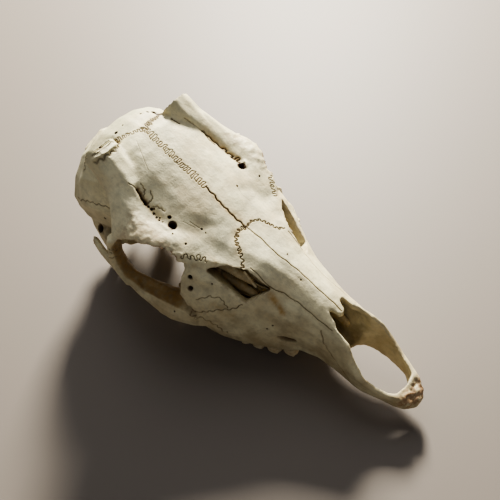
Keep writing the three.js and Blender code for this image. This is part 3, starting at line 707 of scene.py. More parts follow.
def rough_parts(skin, edges):
    """How rough each point's surroundings are, from 0 on smooth bone to 1 on broken bone."""
    p = skin.points
    m = mirrored(p)
    muzzle = (1 - smoothstep(6.5, 11, p[:, 1])) * smoothstep(11, 13.5, p[:, 2])
    free_end = within(p, (-38.8, 177, 38), 6)
    crest = within(m, (20, 199, 60), 16) * smoothstep(196, 200, p[:, 1])
    brow = (smoothstep(27, 34, m[:, 0]) * smoothstep(60, 66, p[:, 2])
            * (1 - smoothstep(141, 149, p[:, 1])) * smoothstep(108, 116, p[:, 1]))
    rims = edges * (within(m, GAP_MIDDLE, 22) + within(m, BROW, 20))
    return np.clip(1.6 * muzzle + free_end + 0.5 * crest + 0.5 * brow + 0.9 * rims, 0, 1.6)


def shaft_walls(skin):
    """1 on the walls of the two supraorbital foramina, which are painted near black as painted shade."""
    across = np.hypot(np.abs(skin.points[:, 0]) - SHAFT[0], skin.points[:, 1] - SHAFT[1])
    above_plug = smoothstep(PLUG_LOW, PLUG_HIGH - 0.6, skin.points[:, 2])
    return (1 - smoothstep(SHAFT_RADIUS, SHAFT_RADIUS + 0.6, across)) * above_plug


def orbit_lining(skin, normals):
    """1 on the faces that look into the orbit from close to its rim, which get a brown stain and painted
    shade.
    """
    facing = np.stack((normals[:, 0] * np.sign(skin.points[:, 0]), normals[:, 1], normals[:, 2]), 1)
    inward = np.array(ORBIT_MIDDLE) - mirrored(skin.points)
    reach = np.linalg.norm(inward, axis=1)
    square = np.sum(inward * facing, axis=1) / np.maximum(reach, 0.1)
    return smoothstep(0.15, 0.7, square) * (1 - smoothstep(21, 28, reach))


def carve(skull):
    """Cuts the sutures, holes and grooves, and gives the surface its unevenness."""
    ground = Ground(skull)
    courses = all_courses(ground)
    holes = all_holes(ground)
    refine_near(skull, courses, 1.5, [hole[:2] for hole in holes])
    refine_near(skull, courses, 0.7, [hole[:2] for hole in holes if hole[1] < 1])
    skin = Skin(skull)
    carving = Carving(skin)
    for course, width, depth in courses:
        carving.groove(course, width, depth)
    for place, radius, depth in holes:
        carving.hole(place, radius, depth)
    broad_marks = ((carving.ridge, RIDGES, 1), (carving.channel, CHANNELS, 3), (carving.tint, STAINS, 3))
    for mark, rows, step in broad_marks:
        for look, sides, places, width, amount in rows:
            for side in sides:
                mark(ground.course(look, side, places)[::step], width, amount)
    normals = skin.normals()
    edges = 1 - smoothstep(0.8, 0.96, np.linalg.norm(skin.blurred(normals, 8), axis=1))
    rough = rough_parts(skin, edges)
    orbit_stain_and_shade = orbit_lining(skin, normals)
    # the orbit's inner faces get a real brown stain here, and painted shade where the masks are gathered
    carving.stain = np.maximum(carving.stain, 0.75 * orbit_stain_and_shade)
    # painted shade: the foramen walls are coloured near black
    carving.dirt_and_shade = np.maximum(carving.dirt_and_shade, 1.3 * shaft_walls(skin))
    lift = 0.18 * grain(skin.points, 9, 1) + 0.09 * grain(skin.points, 3.2, 2)
    lift += rough * (0.6 * grain(skin.points, 2.6, 3) + 0.25 * grain(skin.points, 1.0, 4))
    sawn = saw_face(skin.points, 1.5)
    spongy = np.clip(grain(skin.points, 0.8, 9), 0, 1) * sawn
    carving.dirt_and_shade = np.maximum(carving.dirt_and_shade, 0.7 * spongy)
    lift = lift * (1 - sawn) - 0.5 * spongy
    skin.points += normals * (lift - carving.depth)[:, None]
    low, high = (TO_SKULL @ Vector(corner) for corner in CAD_BOX)
    skin.points = np.clip(skin.points, np.array(low), np.array(high))
    skin.write()
    return skin, carving, rough, orbit_stain_and_shade


RAY_LIFT = 0.35  # above the skin, where the rays start
RAY_FADE = 0.7  # how much less a far wall hides than a near one
SAMPLE_SPREAD = 26  # steps that carry the samples over to the points between them


def sheltered(skull, skin, every=9, rays=20, reach=22):
    """How much of its surroundings each point can't see, from 0 to 1, spread from samples: how much painted
    shade a point gets in the finishes.
    """
    tree = BVHTree.FromObject(skull, bpy.context.evaluated_depsgraph_get())
    normals = skin.normals()
    golden = math.pi * (3 - math.sqrt(5))
    spread = []
    for i in range(rays):
        height = (i + 0.5) / rays
        reach_out = math.sqrt(1 - height * height)
        spread.append(Vector((reach_out * math.cos(golden * i), reach_out * math.sin(golden * i), height)))
    value = np.zeros((skin.count, 2))
    for index in range(0, skin.count, every):
        normal = Vector(normals[index])
        turn = Vector((0, 0, 1)).rotation_difference(normal)
        start = Vector(skin.points[index]) + normal * RAY_LIFT
        hidden = 0.0
        for ray in spread:
            distance = tree.ray_cast(start, turn @ ray, reach)[3]
            if distance is not None:
                hidden += 1 - RAY_FADE * distance / reach
        value[index] = (hidden / rays, 1)
    value = skin.blurred(value, SAMPLE_SPREAD)
    return value[:, 0] / np.maximum(value[:, 1], 1e-6)


# ---------------------------------------------------------------- the saw cuts

SAW_TRIM = 0.6  # how far below the rounded end the crisp cut is made
SAW_GRID = 72  # divisions across the cut
SAW_HALF = 9.8
SAW_WASTE = 14  # thickness of the block that is cut away

# The narrow step along the top of the cut on the right, which faces up: its middle and direction.
LEDGE_MIDDLE = (-23, 169.6, 95.8)
LEDGE_FACING = np.array((0, -0.2, 1)) / np.linalg.norm((0, -0.2, 1))
LEDGE_SCORES = (-0.9, -0.2)  # two lines that the saw left along it


def face_scores(points, rows, from_middle):
    """What the saw took from the face of a cut: its tooth marks, and the spongy bone inside."""
    pits = np.clip(grain(points, 0.8, 9), 0, 1) * (1 - smoothstep(4.5, 6.5, from_middle))
    return 0.55 * pits + 0.05 * np.sin(rows * 5)


def ledge_scores(points, rows, from_middle):
    """What the saw took from the step: two lines along it."""
    return sum(0.4 * np.exp(-((rows - line) / 0.22) ** 2) for line in LEDGE_SCORES)


def saw_cutter(middle, facing, scores):
    """A block whose near face is a sawn surface."""
    middle, facing = Vector(middle), Vector(facing)
    across = Vector((1, 0, 0))
    upward = facing.cross(across)
    steps = np.linspace(-SAW_HALF, SAW_HALF, SAW_GRID + 1)
    near = [middle + across * a + upward * b for b in steps for a in steps]
    points = np.array(near)
    from_middle = np.linalg.norm(points - np.array(middle), axis=1)
    rows = (points - np.array(middle)) @ np.array(upward)
    points -= np.array(facing) * scores(points, rows, from_middle)[:, None]
    far = points[[0, SAW_GRID, -1 - SAW_GRID, -1]] + np.array(facing) * SAW_WASTE
    width = SAW_GRID + 1
    faces = [(row * width + col, row * width + col + 1, (row + 1) * width + col + 1, (row + 1) * width + col)
             for row in range(SAW_GRID) for col in range(SAW_GRID)]
    count = len(points)
    a, b, c, d = count, count + 1, count + 2, count + 3
    top, bottom = [SAW_GRID * width + col for col in range(width)], list(range(width))
    left, right = [row * width for row in range(width)], [row * width + SAW_GRID for row in range(width)]
    faces += [tuple(bottom) + (b, a), tuple(top) + (d, c), tuple(left) + (c, a), tuple(right) + (d, b)]
    faces.append((a, b, d, c))
    return facing_out(new_piece("saw_cutter", np.vstack((points, far)), faces))


def saw_pedicles(skull):
    for place in SAW_CUTS.values():
        middle = np.array(place) - SAW_FACING * SAW_TRIM
        boolean(skull, saw_cutter(middle, SAW_FACING, face_scores), "DIFFERENCE")
    boolean(skull, saw_cutter(LEDGE_MIDDLE, LEDGE_FACING, ledge_scores), "DIFFERENCE")


# ---------------------------------------------------------------- parting into bones

FAR = 70
PEDICLE_AXIS = [(24.5, 146, 67.5), (23, 182, 98)]
PEDICLE_SPACE = 12.5  # radius of the space that holds a pedicle
PEDICLE_SIDES = 40
PLAN_HEIGHTS = (30, 90)  # from below to above what an outline seen from above takes in

# The bones of one side in the order in which they are parted off, with the space of each: an
# outline seen from the side, [back, up], or from above, [out, back], and its extent outwards.
SIDE_BONES = [
    ("premaxilla", "side", [(-9, -9), (30, -9), (32, 12), (37, 20), (43, 28), (46.5, 36), (46.5, 60),
                            (-9, 60)], 0),
    ("nasal", "plan", [(0, 40), (8.6, 40), (9.2, 60), (11.4, 80), (15, 93.5), (12, 98), (8, 103.4),
                       (0, 104)], 0),
    ("lacrimal", "side", [(105, 56.5), (93, 51.2), (86, 44), (91, 38), (100, 36.5), (109, 34), (115, 40),
                          (118, 56), (112, 59)], 18.5),
    ("jugal", "side", [(89, 36.4), (93, 24), (108, 20), (156, 24), (162, 31), (158, 46), (157, 50.5),
                       (117, 50.5), (114.4, 40), (109, 33.6), (100, 36.1)], 27),
    ("frontal", "side", [(85, 50.5), (154, 50.5), (148, 53), (152, 62), (159, 75), (164, 86), (166.4, 92.6),
                         (166.4, 120), (85, 120)], 0),
    ("maxilla", "side", [(20, -9), (124.5, -9), (124.5, 20), (114, 32), (114, 50.5), (85, 60), (20, 60)], 0),
    ("temporal", "side", [(152, 50), (158, 26), (176, 12), (187.5, 12), (189.6, 34), (193, 56),
                          (168, 60)], 10.2),
]
ARCH_END = ("side", [(150, 28), (182, 28), (182, 46), (150, 46)], 36.3)  # on the right, with the jugal
UPPER_BAR = ("side", [(140, 50.5), (157, 50.5), (157, 68), (140, 68)], 36.3)  # with the frontal
MIDLINE_BONES = [
    ("occipital", [(166, 26.5), (190, 34), (194, 60), (199, 72), (220, 90), (220, -9), (160, -9)]),
    ("parietal", [(140, 52), (230, 52), (230, 130), (140, 130)]),
]


def space_of(kind, outline, inner, side):
    """The space that takes a bone off one side."""
    if kind == "plan":
        return plan_prism([(side * out, back) for out, back in outline], *PLAN_HEIGHTS)
    low, high = sorted((side * inner, side * FAR))
    return side_prism(outline, low, high)


def pedicle_space(side):
    start, end = (Vector((side * out, back, up)) for out, back, up in PEDICLE_AXIS)
    return rod(start, end, PEDICLE_SPACE, PEDICLE_SIDES)


def largest_part(piece):
    """Drops the slivers that a cut has left beside a bone."""
    activate(piece)
    bpy.ops.object.mode_set(mode="EDIT")
    select_everything()
    bpy.ops.mesh.separate(type="LOOSE")
    bpy.ops.object.mode_set(mode="OBJECT")
    parts = sorted(bpy.context.selected_objects, key=lambda part: len(part.data.vertices))
    for part in parts[:-1]:
        bpy.data.objects.remove(part)
    return parts[-1]


def part_into_bones(skull):
    """Parts the skull off bone by bone; the sphenoid is what is left at the end."""
    bones = {}

    def part_off(name, spaces):
        bone = copy_piece(skull, name)
        space = spaces[0]
        for extra in spaces[1:]:
            boolean(space, extra, "UNION")
        boolean(bone, space, "INTERSECT", keep_tool=True)
        boolean(skull, space, "DIFFERENCE")
        bones[name] = bone

    for name, kind, outline, inner in SIDE_BONES:
        for side in BOTH:
            spaces = [space_of(kind, outline, inner, side)]
            if name == "frontal":
                spaces += [pedicle_space(side), space_of(*UPPER_BAR, side)]
            if name == "jugal" and side == RIGHT:
                spaces.append(space_of(*ARCH_END, side))
            part_off(f"{name}_{LETTERS[side]}", spaces)
    for name, outline in MIDLINE_BONES:
        part_off(name, [side_prism(outline, -FAR, FAR)])
    skull.name = "sphenoid"
    bones["sphenoid"] = skull
    return {name: largest_part(bone) for name, bone in bones.items()}


def write_masks(piece, tree, masks):
    """Gives each point of a bone the masks of the nearest point of the whole skull."""
    nearest = [tree.find(vertex.co)[1] for vertex in piece.data.vertices]
    for name, values in masks.items():
        set_mask(piece, name, values[nearest])


# ---------------------------------------------------------------- cheek teeth

# Each cheek tooth from the front: its length, its number of lobes and its width.
TEETH = [(8, 1, 6.8), (8.5, 1, 8), (8, 1, 9.4), (10.5, 2, 10.6), (11.5, 2, 11.2), (11.5, 2, 10.8)]
TEETH_START = 64
TOOTH_ROW = [(64, 11.6), (68, 12.8), (76, 15.4), (85, 17.2), (94, 18.6), (105, 20), (122, 20)]  # back, out
TOOTH_TIPS = [(64, 6), (68, 4.6), (80, 2.2), (92, 0.4), (100, 0), (113, 0), (122, 0.8)]  # back, up
TOOTH_ROOT = 16
TOOTH_VOXEL = 0.22
TOOTH_RINGS = 12
TOOTH_SIDES = 56
FACE_RINGS = 9  # across the chewing face
CROWN_DEPTH = 2.6  # from the cusps down to the pits
CROWN_SPAN = 1.85  # from the lowest to the highest value that crown_height gives


def along(places, at):
    """The value at a distance along a line of (distance, value) places."""
    return float(np.interp(at, [place[0] for place in places], [place[1] for place in places]))


def crown_height(across, along_row):
    """How high the chewing face stands at a place on a lobe, from -1 in its pit to 1 on its cusp."""
    outer_ridge = 0.38 + 0.34 * along_row ** 2
    outer = 1.0 - 0.85 * abs(along_row) ** 1.4 - 2.3 * abs(across - outer_ridge)
    inner_ridge = -0.72 + 0.75 * along_row ** 2
    inner = 0.42 - 0.35 * abs(along_row) ** 1.5 - 2.0 * abs(across - inner_ridge)
    return max(outer, inner, -0.85)


def crown_outline(angle):
    """A lobe's outline round its middle: ribbed and flat outside, round inside."""
    across, row = math.cos(angle), math.sin(angle)
    reach = (abs(across) ** 2.6 + abs(row) ** 2.6) ** (-1 / 2.6)
    if across > 0:
        reach *= 1 + 0.07 * math.cos(4 * angle) * across
    return across * reach, row * reach


def tooth_lobe(side, back, length, width):
    """One lobe: a ribbed column from its socket to a chewing face with two crescent ridges."""
    out = along(TOOTH_ROW, back)
    tip = along(TOOTH_TIPS, back) + 0.15
    points, faces = [], []

    def place(across, row, up):
        points.append((side * (out + across * width / 2), back + row * length / 2, up))

    def face_at(across, row):
        return tip + CROWN_DEPTH * (1 - crown_height(across, row)) / CROWN_SPAN

    for ring in range(TOOTH_RINGS + 1):
        share = ring / TOOTH_RINGS
        swell = 0.86 + 0.12 * math.sin(0.75 * math.pi * share)
        for i in range(TOOTH_SIDES):
            across, row = crown_outline(2 * math.pi * i / TOOTH_SIDES)
            across, row = across * swell, row * (swell + 0.045)
            place(across, row, mix(TOOTH_ROOT, face_at(0.94 * across, 0.94 * row), share))
    for ring in range(1, FACE_RINGS):
        share = 1 - ring / FACE_RINGS
        for i in range(TOOTH_SIDES):
            across, row = crown_outline(2 * math.pi * i / TOOTH_SIDES)
            across, row = across * share * 0.93, row * share * 0.97
            place(across, row, face_at(across, row))
    place(0, 0, face_at(0, 0))
    rings = TOOTH_RINGS + FACE_RINGS
    for ring in range(rings - 1):
        for i in range(TOOTH_SIDES):
            a, b = ring * TOOTH_SIDES + i, ring * TOOTH_SIDES + (i + 1) % TOOTH_SIDES
            faces.append((a, b, b + TOOTH_SIDES, a + TOOTH_SIDES))
    last = (rings - 1) * TOOTH_SIDES
    faces += [(last + i, last + (i + 1) % TOOTH_SIDES, len(points) - 1) for i in range(TOOTH_SIDES)]
    faces.append(tuple(reversed(range(TOOTH_SIDES))))
    return facing_out(new_piece("lobe", points, faces))


def tooth_row(side, name):
    """The six cheek teeth of one side, as one closed surface."""
    lobes = []
    start = TEETH_START
    for length, count, width in TEETH:
        for lobe in range(count):
            part = length / count
            back = start + (lobe + 0.5) * part
            lobes.append(tooth_lobe(side, back, part + 0.35 * (count - 1), width * (1 - 0.04 * lobe)))
        start += length
    row = joined(lobes, name)
    apply_modifier(row, "REMESH", mode="VOXEL", voxel_size=TOOTH_VOXEL)
    skin = Skin(row)
    skin.relax(3)
    points = skin.points
    skin.points += skin.normals() * (0.05 * grain(points, 1.3, 5) + 0.03 * grain(points, 0.6, 6))[:, None]
    skin.points[:, 2] = np.maximum(skin.points[:, 2], 0)
    skin.write()
    # painted shade: how enclosed each point of the teeth is, which darkens their crevices
    hollow = sheltered(row, skin, every=5, rays=16, reach=4)
    lip = np.interp(points[:, 1], *np.array(SOCKETS).T)
    tartar = smoothstep(-3.5, -0.5, points[:, 2] - lip) * (0.4 + 0.3 * grain(points, 1.6, 7))
    set_mask(row, "hollow", np.clip(hollow, 0, 1))
    set_mask(row, "tartar", np.clip(tartar, 0, 1))
    return row


# ---------------------------------------------------------------- the thin plates inside the nose

SCROLL_STEPS = 26  # places round a scroll
SCROLL_TAPER = 0.72  # how far a scroll draws in towards its inner edge


def scroll_plate(name, stations, turns, thick, start):
    """A thin plate rolled up like a scroll, along stations of (out, back, up, radius)."""
    points, faces = [], []
    for out, back, up, radius in stations:
        for face in (1, -1):
            for i in range(SCROLL_STEPS + 1):
                share = i / SCROLL_STEPS
                angle = start + 2 * math.pi * turns * share
                reach = radius * (1 - SCROLL_TAPER * share) + face * thick / 2
                points.append((out + reach * math.cos(angle), back, up + reach * math.sin(angle)))
    width = SCROLL_STEPS + 1
    ring = 2 * width
    loop = list(range(width)) + list(reversed(range(width, ring)))
    for station in range(len(stations) - 1):
        for i in range(ring):
            a, b = loop[i] + station * ring, loop[(i + 1) % ring] + station * ring
            faces.append((a, b, b + ring, a + ring))
    for station, turn in ((0, 1), (len(stations) - 1, -1)):
        for i in range(SCROLL_STEPS):
            cap = [i, i + 1, i + 1 + width, i + width]
            faces.append(tuple((index + station * ring) for index in cap[::turn]))
    plate = facing_out(new_piece(name, points, faces))
    apply_modifier(plate, "SUBSURF", levels=1)
    return plate


def between(places, count):
    """Even stations along a line of (out, back, up, radius) places, by their back."""
    table = np.array(places, float)
    backs = np.linspace(table[0, 1], table[-1, 1], count)
    columns = [np.interp(backs, table[:, 1], table[:, i]) for i in (0, 2, 3)]
    return [(out, back, up, radius) for back, out, up, radius in zip(backs, *columns)]


LOWER_SCROLL = [(6.5, 47, 25.5, 1.6), (7.2, 54, 27.5, 3.0), (7.4, 66, 29, 3.8), (7.4, 84, 31, 3.8),
                (7, 96, 32, 2.6)]
SIEVE_SCROLLS = [  # the rolled plates ahead of the braincase
    [(8.6, 80, 44, 1.8), (9.4, 88, 45.5, 3.4), (10.2, 104, 46, 3.8), (10, 114, 46, 3.2)],
    [(14.6, 86, 40, 1.6), (15.8, 94, 40.5, 3.2), (16.6, 108, 41, 3.4), (16, 116, 41, 3)],
    [(9, 84, 36, 1.8), (9.8, 92, 36.4, 3.2), (10.4, 106, 36.6, 3.4), (10, 114, 37, 3)],
    [(15, 88, 49, 1.4), (16, 96, 50, 2.6), (17, 108, 50.5, 2.8), (16.6, 114, 50, 2.4)],
]
LOWER_ROLL = {"turns": 1.25, "thick": 0.55}
SIEVE_ROLL = {"turns": 1.4, "thick": 0.5}
MIDDLE_PLATE = [(50, 17), (70, 17.5), (104, 20), (116, 24), (116, 44), (106, 47), (90, 36), (70, 27),
                (54, 23)]  # back, up
MIDDLE_HALF = 0.45  # half the thickness of the middle plate
STRUT = ((-16.9, 91.8, 56.2), (-16.2, 85, 49.4), 0.55)  # a splint across the gap on the right
STRUT_SIDES = 20
WARP, WARP_LENGTH = 0.35, 3.5  # how far the plates are bent out of true, and over what length
# on the plates the last value is a light, even painted shade
PLATE_MASKS = {"dirt_and_shade": 0.0, "stain": 0.6, "raw": 0.0, "shelter": 0.1}  # the same all over the plates


def nose_plates():
    """The scrolls and the middle plate that stand inside the nose, on both sides."""
    plates = []

    def add_scroll(side, places, count, roll, start):
        stations = [(side * out, back, up, side * radius) for out, back, up, radius in between(places, count)]
        plates.append(scroll_plate("scroll", stations, start=start, **roll))

    for side in BOTH:
        add_scroll(side, LOWER_SCROLL, 22, LOWER_ROLL, start=1.2)
        for number, places in enumerate(SIEVE_SCROLLS):
            add_scroll(side, places, 16, SIEVE_ROLL, start=0.9 * number)
    plates.append(side_prism(MIDDLE_PLATE, -MIDDLE_HALF, MIDDLE_HALF))
    splint = rod(*STRUT, STRUT_SIDES)
    in_edit_mode(splint, select_everything, lambda: bpy.ops.mesh.subdivide(number_cuts=3))
    plates.append(splint)
    plates = joined(plates, "nose_plates")
    skin = Skin(plates)
    skin.points += np.stack([WARP * grain(skin.points, WARP_LENGTH, seed) for seed in (11, 12, 13)], 1)
    skin.write()
    return plates


# ---------------------------------------------------------------- finishes

class Finish:
    """A material and short ways to add its nodes."""

    def __init__(self, name):
        self.material = bpy.data.materials.new(name)
        self.material.use_nodes = True
        self.tree = self.material.node_tree
        self.shader = self.tree.nodes["Principled BSDF"]

    def add(self, kind, inputs=None, **values):
        node = self.tree.nodes.new(kind)
        for key, value in values.items():
            setattr(node, key, value)
        for key, value in (inputs or {}).items():
            if isinstance(value, bpy.types.NodeSocket):
                self.tree.links.new(value, node.inputs[key])
            else:
                node.inputs[key].default_value = value
        return node

    def link(self, source, socket):
        self.tree.links.new(source, self.shader.inputs[socket])

    def mask(self, name):
        return self.add("ShaderNodeAttribute", attribute_name=name).outputs["Fac"]

    def place(self):
        return self.add("ShaderNodeTexCoord").outputs["Object"]

    def noise(self, place, size, detail=3.0, roughness=0.55):
        """Noise whose lumps are about a given size in millimetres."""
        inputs = {"Vector": place, "Scale": 1 / (size * MM), "Detail": detail, "Roughness": roughness}
        return self.add("ShaderNodeTexNoise", inputs).outputs["Fac"]

    def stretched(self, place, share):
        """The place with its run along the skull shortened, so that a pattern on it is drawn out."""
        return self.add("ShaderNodeMapping", {"Vector": place, "Scale": (1, share, 0.6)}).outputs["Vector"]

    def ramp(self, value, low, high):
        inputs = {"Value": value, "From Min": low, "From Max": high}
        return self.add("ShaderNodeMapRange", inputs, clamp=True).outputs["Result"]

    def times(self, a, b):
        return self.add("ShaderNodeMath", {0: a, 1: b}, operation="MULTIPLY", use_clamp=True).outputs[0]

    def plus(self, a, b):
        return self.add("ShaderNodeMath", {0: a, 1: b}, operation="ADD", use_clamp=True).outputs[0]

    def blend(self, share, a, b):
        node = self.tree.nodes.new("ShaderNodeMix")
        node.data_type = "RGBA"
        for socket, value in zip((node.inputs[0], node.inputs[6], node.inputs[7]), (share, a, b)):
            if isinstance(value, bpy.types.NodeSocket):
                self.tree.links.new(value, socket)
            else:
                socket.default_value = value if not isinstance(value, tuple) else (*value, 1)
        return node.outputs[2]

    def layer(self, colour, over, pattern, low, high, share):
        """Lays a colour over another as the pattern rises from low to high, up to a share."""
        return self.blend(self.times(self.ramp(pattern, low, high), share), colour, over)

    def bump(self, height, distance, strength, normal=None):
        inputs = {"Height": height, "Distance": distance * MM, "Strength": strength}
        if normal:
            inputs["Normal"] = normal
        return self.add("ShaderNodeBump", inputs).outputs["Normal"]


BONE_PALE = (0.88, 0.815, 0.545)
BONE_WARM = (0.74, 0.60, 0.36)
BONE_GREY = (0.42, 0.40, 0.29)
BONE_GREEN = (0.36, 0.355, 0.22)
WARM_LOW_SHADE = (0.34, 0.235, 0.10)
BONE_BROWN = (0.13, 0.06, 0.018)
OCHRE = (0.42, 0.24, 0.06)
DIRT_AND_SHADE = (0.05, 0.024, 0.009)
RAW = (0.27, 0.12, 0.055)
ENAMEL_PALE = (0.74, 0.62, 0.40)
ENAMEL_WORN = (0.52, 0.38, 0.19)
ENAMEL_SHADE_BROWN = (0.10, 0.055, 0.025)
TARTAR = (0.24, 0.17, 0.09)
FLOOR = (0.2, 0.17, 0.145)
SKY = (0.98, 0.98, 1)


def bone_finish():
    """Dry bone: cream, mottled grey, brown in its hollows as painted shade and grime, warm brown low down as
    painted shade, dark in its sutures and painted near black in its holes.
    """
    finish = Finish("bone")
    place = finish.place()
    _, back, up = finish.add("ShaderNodeSeparateXYZ", {0: place}).outputs
    mottle = finish.noise(place, 6.5, 5, 0.62)
    veil = finish.noise(place, 1.7, 5, 0.7)
    grain_lines = finish.noise(finish.stretched(place, 0.12), 1.3, 4, 0.6)
    colour = finish.layer(BONE_PALE, BONE_WARM, finish.noise(place, 22, 4), 0.44, 0.62, 0.55)
    colour = finish.layer(colour, BONE_GREY, mottle, 0.46, 0.68, 0.5)
    colour = finish.layer(colour, BONE_GREY, veil, 0.5, 0.75, 0.4)
    colour = finish.layer(colour, BONE_GREY, grain_lines, 0.5, 0.74, 0.35)
    hind = finish.times(finish.ramp(back, 0.052, 0.085), finish.ramp(finish.noise(place, 18, 3), 0.3, 0.6))
    colour = finish.blend(finish.times(hind, 0.6), colour, BONE_GREEN)
    # painted shade: bone low down, near the floor, turns warm brown, standing for shade and warm light thrown
    # up from the floor
    low = finish.times(finish.ramp(up, 0.062, 0.022), finish.ramp(finish.noise(place, 13, 3), 0.2, 0.6))
    colour = finish.blend(finish.times(low, 0.62), colour, WARM_LOW_SHADE)
    # painted shade: bone turns brown where its surroundings close in, standing both for shade and for grime
    # that gathers in hollows
    shelter = finish.mask("shelter")
    shade_and_grime_share = finish.ramp(finish.plus(shelter, finish.times(finish.ramp(mottle, 0.4, 0.7), 0.12)), 0.22, 0.7)
    colour = finish.blend(finish.times(shade_and_grime_share, 0.9), colour, BONE_BROWN)
    stained = finish.times(finish.mask("stain"), finish.ramp(finish.noise(place, 2.4, 4), 0.25, 0.6))
    colour = finish.blend(finish.times(stained, 0.85), colour, OCHRE)
    raw = finish.times(finish.mask("raw"), finish.ramp(finish.noise(place, 1.8, 3), 0.35, 0.62))
    colour = finish.blend(finish.times(raw, 0.7), colour, RAW)
    pores = finish.add("ShaderNodeTexVoronoi", {"Vector": place, "Scale": 1 / (1.1 * MM)})
    pore = finish.times(finish.ramp(pores.outputs["Distance"], 0.16, 0.04),
                        finish.ramp(finish.noise(place, 7, 2), 0.5, 0.68))
    colour = finish.blend(finish.times(pore, 0.55), colour, BONE_BROWN)
    # near black: real dirt in sutures and cracks, painted shade in holes and foramina
    colour = finish.blend(finish.ramp(finish.mask("dirt_and_shade"), 0.1, 1.0), colour, DIRT_AND_SHADE)
    finish.link(colour, "Base Color")
    sheen = finish.add("ShaderNodeMapRange", {"Value": mottle, "From Min": 0.3, "From Max": 0.7,
                                              "To Min": 0.5, "To Max": 0.68}).outputs["Result"]
    finish.link(sheen, "Roughness")
    fine = finish.noise(place, 0.9, 4, 0.6)
    normal = finish.bump(fine, 0.16, 0.55)
    normal = finish.bump(grain_lines, 0.16, 0.5, normal)
    normal = finish.bump(pore, 0.25, 0.5, normal)
    wide = finish.noise(place, 3.4, 4, 0.6)
    finish.link(finish.bump(wide, 0.5, 0.5, normal), "Normal")
    finish.shader.inputs["Specular IOR Level"].default_value = 0.4
    return finish.material


def enamel_finish():
    """Worn enamel: glossy cream, with painted shade in its hollows and brown by the sockets."""
    finish = Finish("enamel")
    place = finish.place()
    streaks = finish.noise(place, 1.6, 4)
    colour = finish.blend(finish.ramp(streaks, 0.4, 0.7), ENAMEL_PALE, ENAMEL_WORN)
    hollow = finish.ramp(finish.mask("hollow"), 0.3, 0.62)
    colour = finish.blend(finish.times(hollow, 0.9), colour, ENAMEL_SHADE_BROWN)
    colour = finish.blend(finish.mask("tartar"), colour, TARTAR)
    finish.link(colour, "Base Color")
    finish.shader.inputs["Roughness"].default_value = 0.34
    finish.shader.inputs["Coat Weight"].default_value = 0.15
    finish.link(finish.bump(finish.noise(place, 0.5, 3), 0.08, 0.5), "Normal")
    return finish.material


# ---------------------------------------------------------------- the scene

CAMERA = {"eye": (-153.6, -47.2, 312.1), "right": (0.6469, -0.7605, -0.0560),
          "down": (-0.6155, -0.4773, -0.6272), "focal_px": 700.0, "image_px": 500.0}


def place_camera():
    right, down = Vector(CAMERA["right"]).normalized(), Vector(CAMERA["down"]).normalized()
    ahead = right.cross(down).normalized()
    down = ahead.cross(right)
    turn = Matrix((right, -down, -ahead)).transposed().to_4x4()
    data = bpy.data.cameras.new("camera")
    data.sensor_width = 36
    data.lens = data.sensor_width * CAMERA["focal_px"] / CAMERA["image_px"]
    data.clip_start = 0.01
    camera = bpy.data.objects.new("camera", data)
    camera.matrix_world = Matrix.Translation(TO_FRAME @ Vector(CAMERA["eye"])) @ turn
    bpy.context.scene.collection.objects.link(camera)
    bpy.context.scene.camera = camera


def add_light(name, direction, distance, size, power, colour=(1, 1, 1)):
    """A square light that faces the skull from a direction."""
    data = bpy.data.lights.new(name, "AREA")
    data.size = size
    data.energy = power
    data.color = colour
    light = bpy.data.objects.new(name, data)
    light.location = Vector(direction).normalized() * distance
    light.rotation_euler = Vector(direction).to_track_quat("Z", "Y").to_euler()
    bpy.context.scene.collection.objects.link(light)


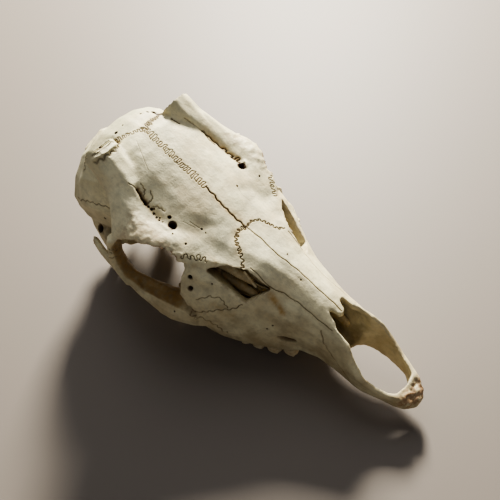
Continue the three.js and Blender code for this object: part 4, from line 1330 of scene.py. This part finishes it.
def light_studio():
    world = bpy.data.worlds.new("studio")
    world.use_nodes = True
    background = world.node_tree.nodes["Background"]
    background.inputs["Color"].default_value = (*SKY, 1)
    background.inputs["Strength"].default_value = 0.12
    bpy.context.scene.world = world
    bpy.context.scene.view_settings.look = "AgX - Medium High Contrast"
    add_light("key", (0.86, 0.62, 0.7), distance=1.1, size=0.22, power=47, colour=(1, 0.96, 0.85))
    add_light("top", (0.3, 0.5, 1), distance=1.2, size=0.8, power=3)
    add_light("fill", (-0.8, -0.6, 0.7), distance=1.3, size=0.9, power=1, colour=(0.96, 0.97, 1))


def lay_floor():
    deselect_all()
    bpy.ops.mesh.primitive_plane_add(size=6, location=(0, 0, 0))
    floor = bpy.context.object
    floor.name = "floor"
    material = bpy.data.materials.new("pale floor")
    material.use_nodes = True
    shader = material.node_tree.nodes["Principled BSDF"]
    shader.inputs["Base Color"].default_value = (*FLOOR, 1)
    shader.inputs["Roughness"].default_value = 0.6
    floor.data.materials.append(material)


SMOOTH_ANGLE = 60  # degrees, above which an edge stays crisp


def dress(piece, finish, nodes):
    """Moves a finished piece from skull space to the frame, gives it its finish and smooth shading, fixes it
    to the skull's body, and hides the parts that it stands in for.
    """
    piece.data.transform(TO_FRAME)
    piece.data.materials.clear()
    piece.data.materials.append(finish)
    activate(piece)
    bpy.ops.object.shade_smooth_by_angle(angle=math.radians(SMOOTH_ANGLE))
    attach(piece, "root")
    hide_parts(*nodes)


place_camera()
light_studio()
lay_floor()

bone = bone_finish()
enamel = enamel_finish()
skull = whole_skull()
smooth_facets(skull)
skin, carving, rough, orbit_stain_and_shade = carve(skull)
# the dark mask holds real dirt and the painted dark of holes; the fourth mask is painted shade and grime in
# hollows, deepened on the orbit's inner faces
masks = {"dirt_and_shade": carving.dirt_and_shade, "stain": carving.stain, "raw": rough,
         "shelter": np.maximum(sheltered(skull, skin), 0.45 * orbit_stain_and_shade)}
tree = skin.tree()
saw_pedicles(skull)
for name, piece in part_into_bones(skull).items():
    write_masks(piece, tree, masks)
    dress(piece, bone, [name])
    piece.name = name + "_bone"

for side in BOTH:
    row = tooth_row(side, "cheek_teeth_" + LETTERS[side])
    dress(row, enamel, ["maxilla_" + LETTERS[side]])

plates = nose_plates()
for name, value in PLATE_MASKS.items():
    set_mask(plates, name, np.full(len(plates.data.vertices), value))
dress(plates, bone, ["sphenoid"])
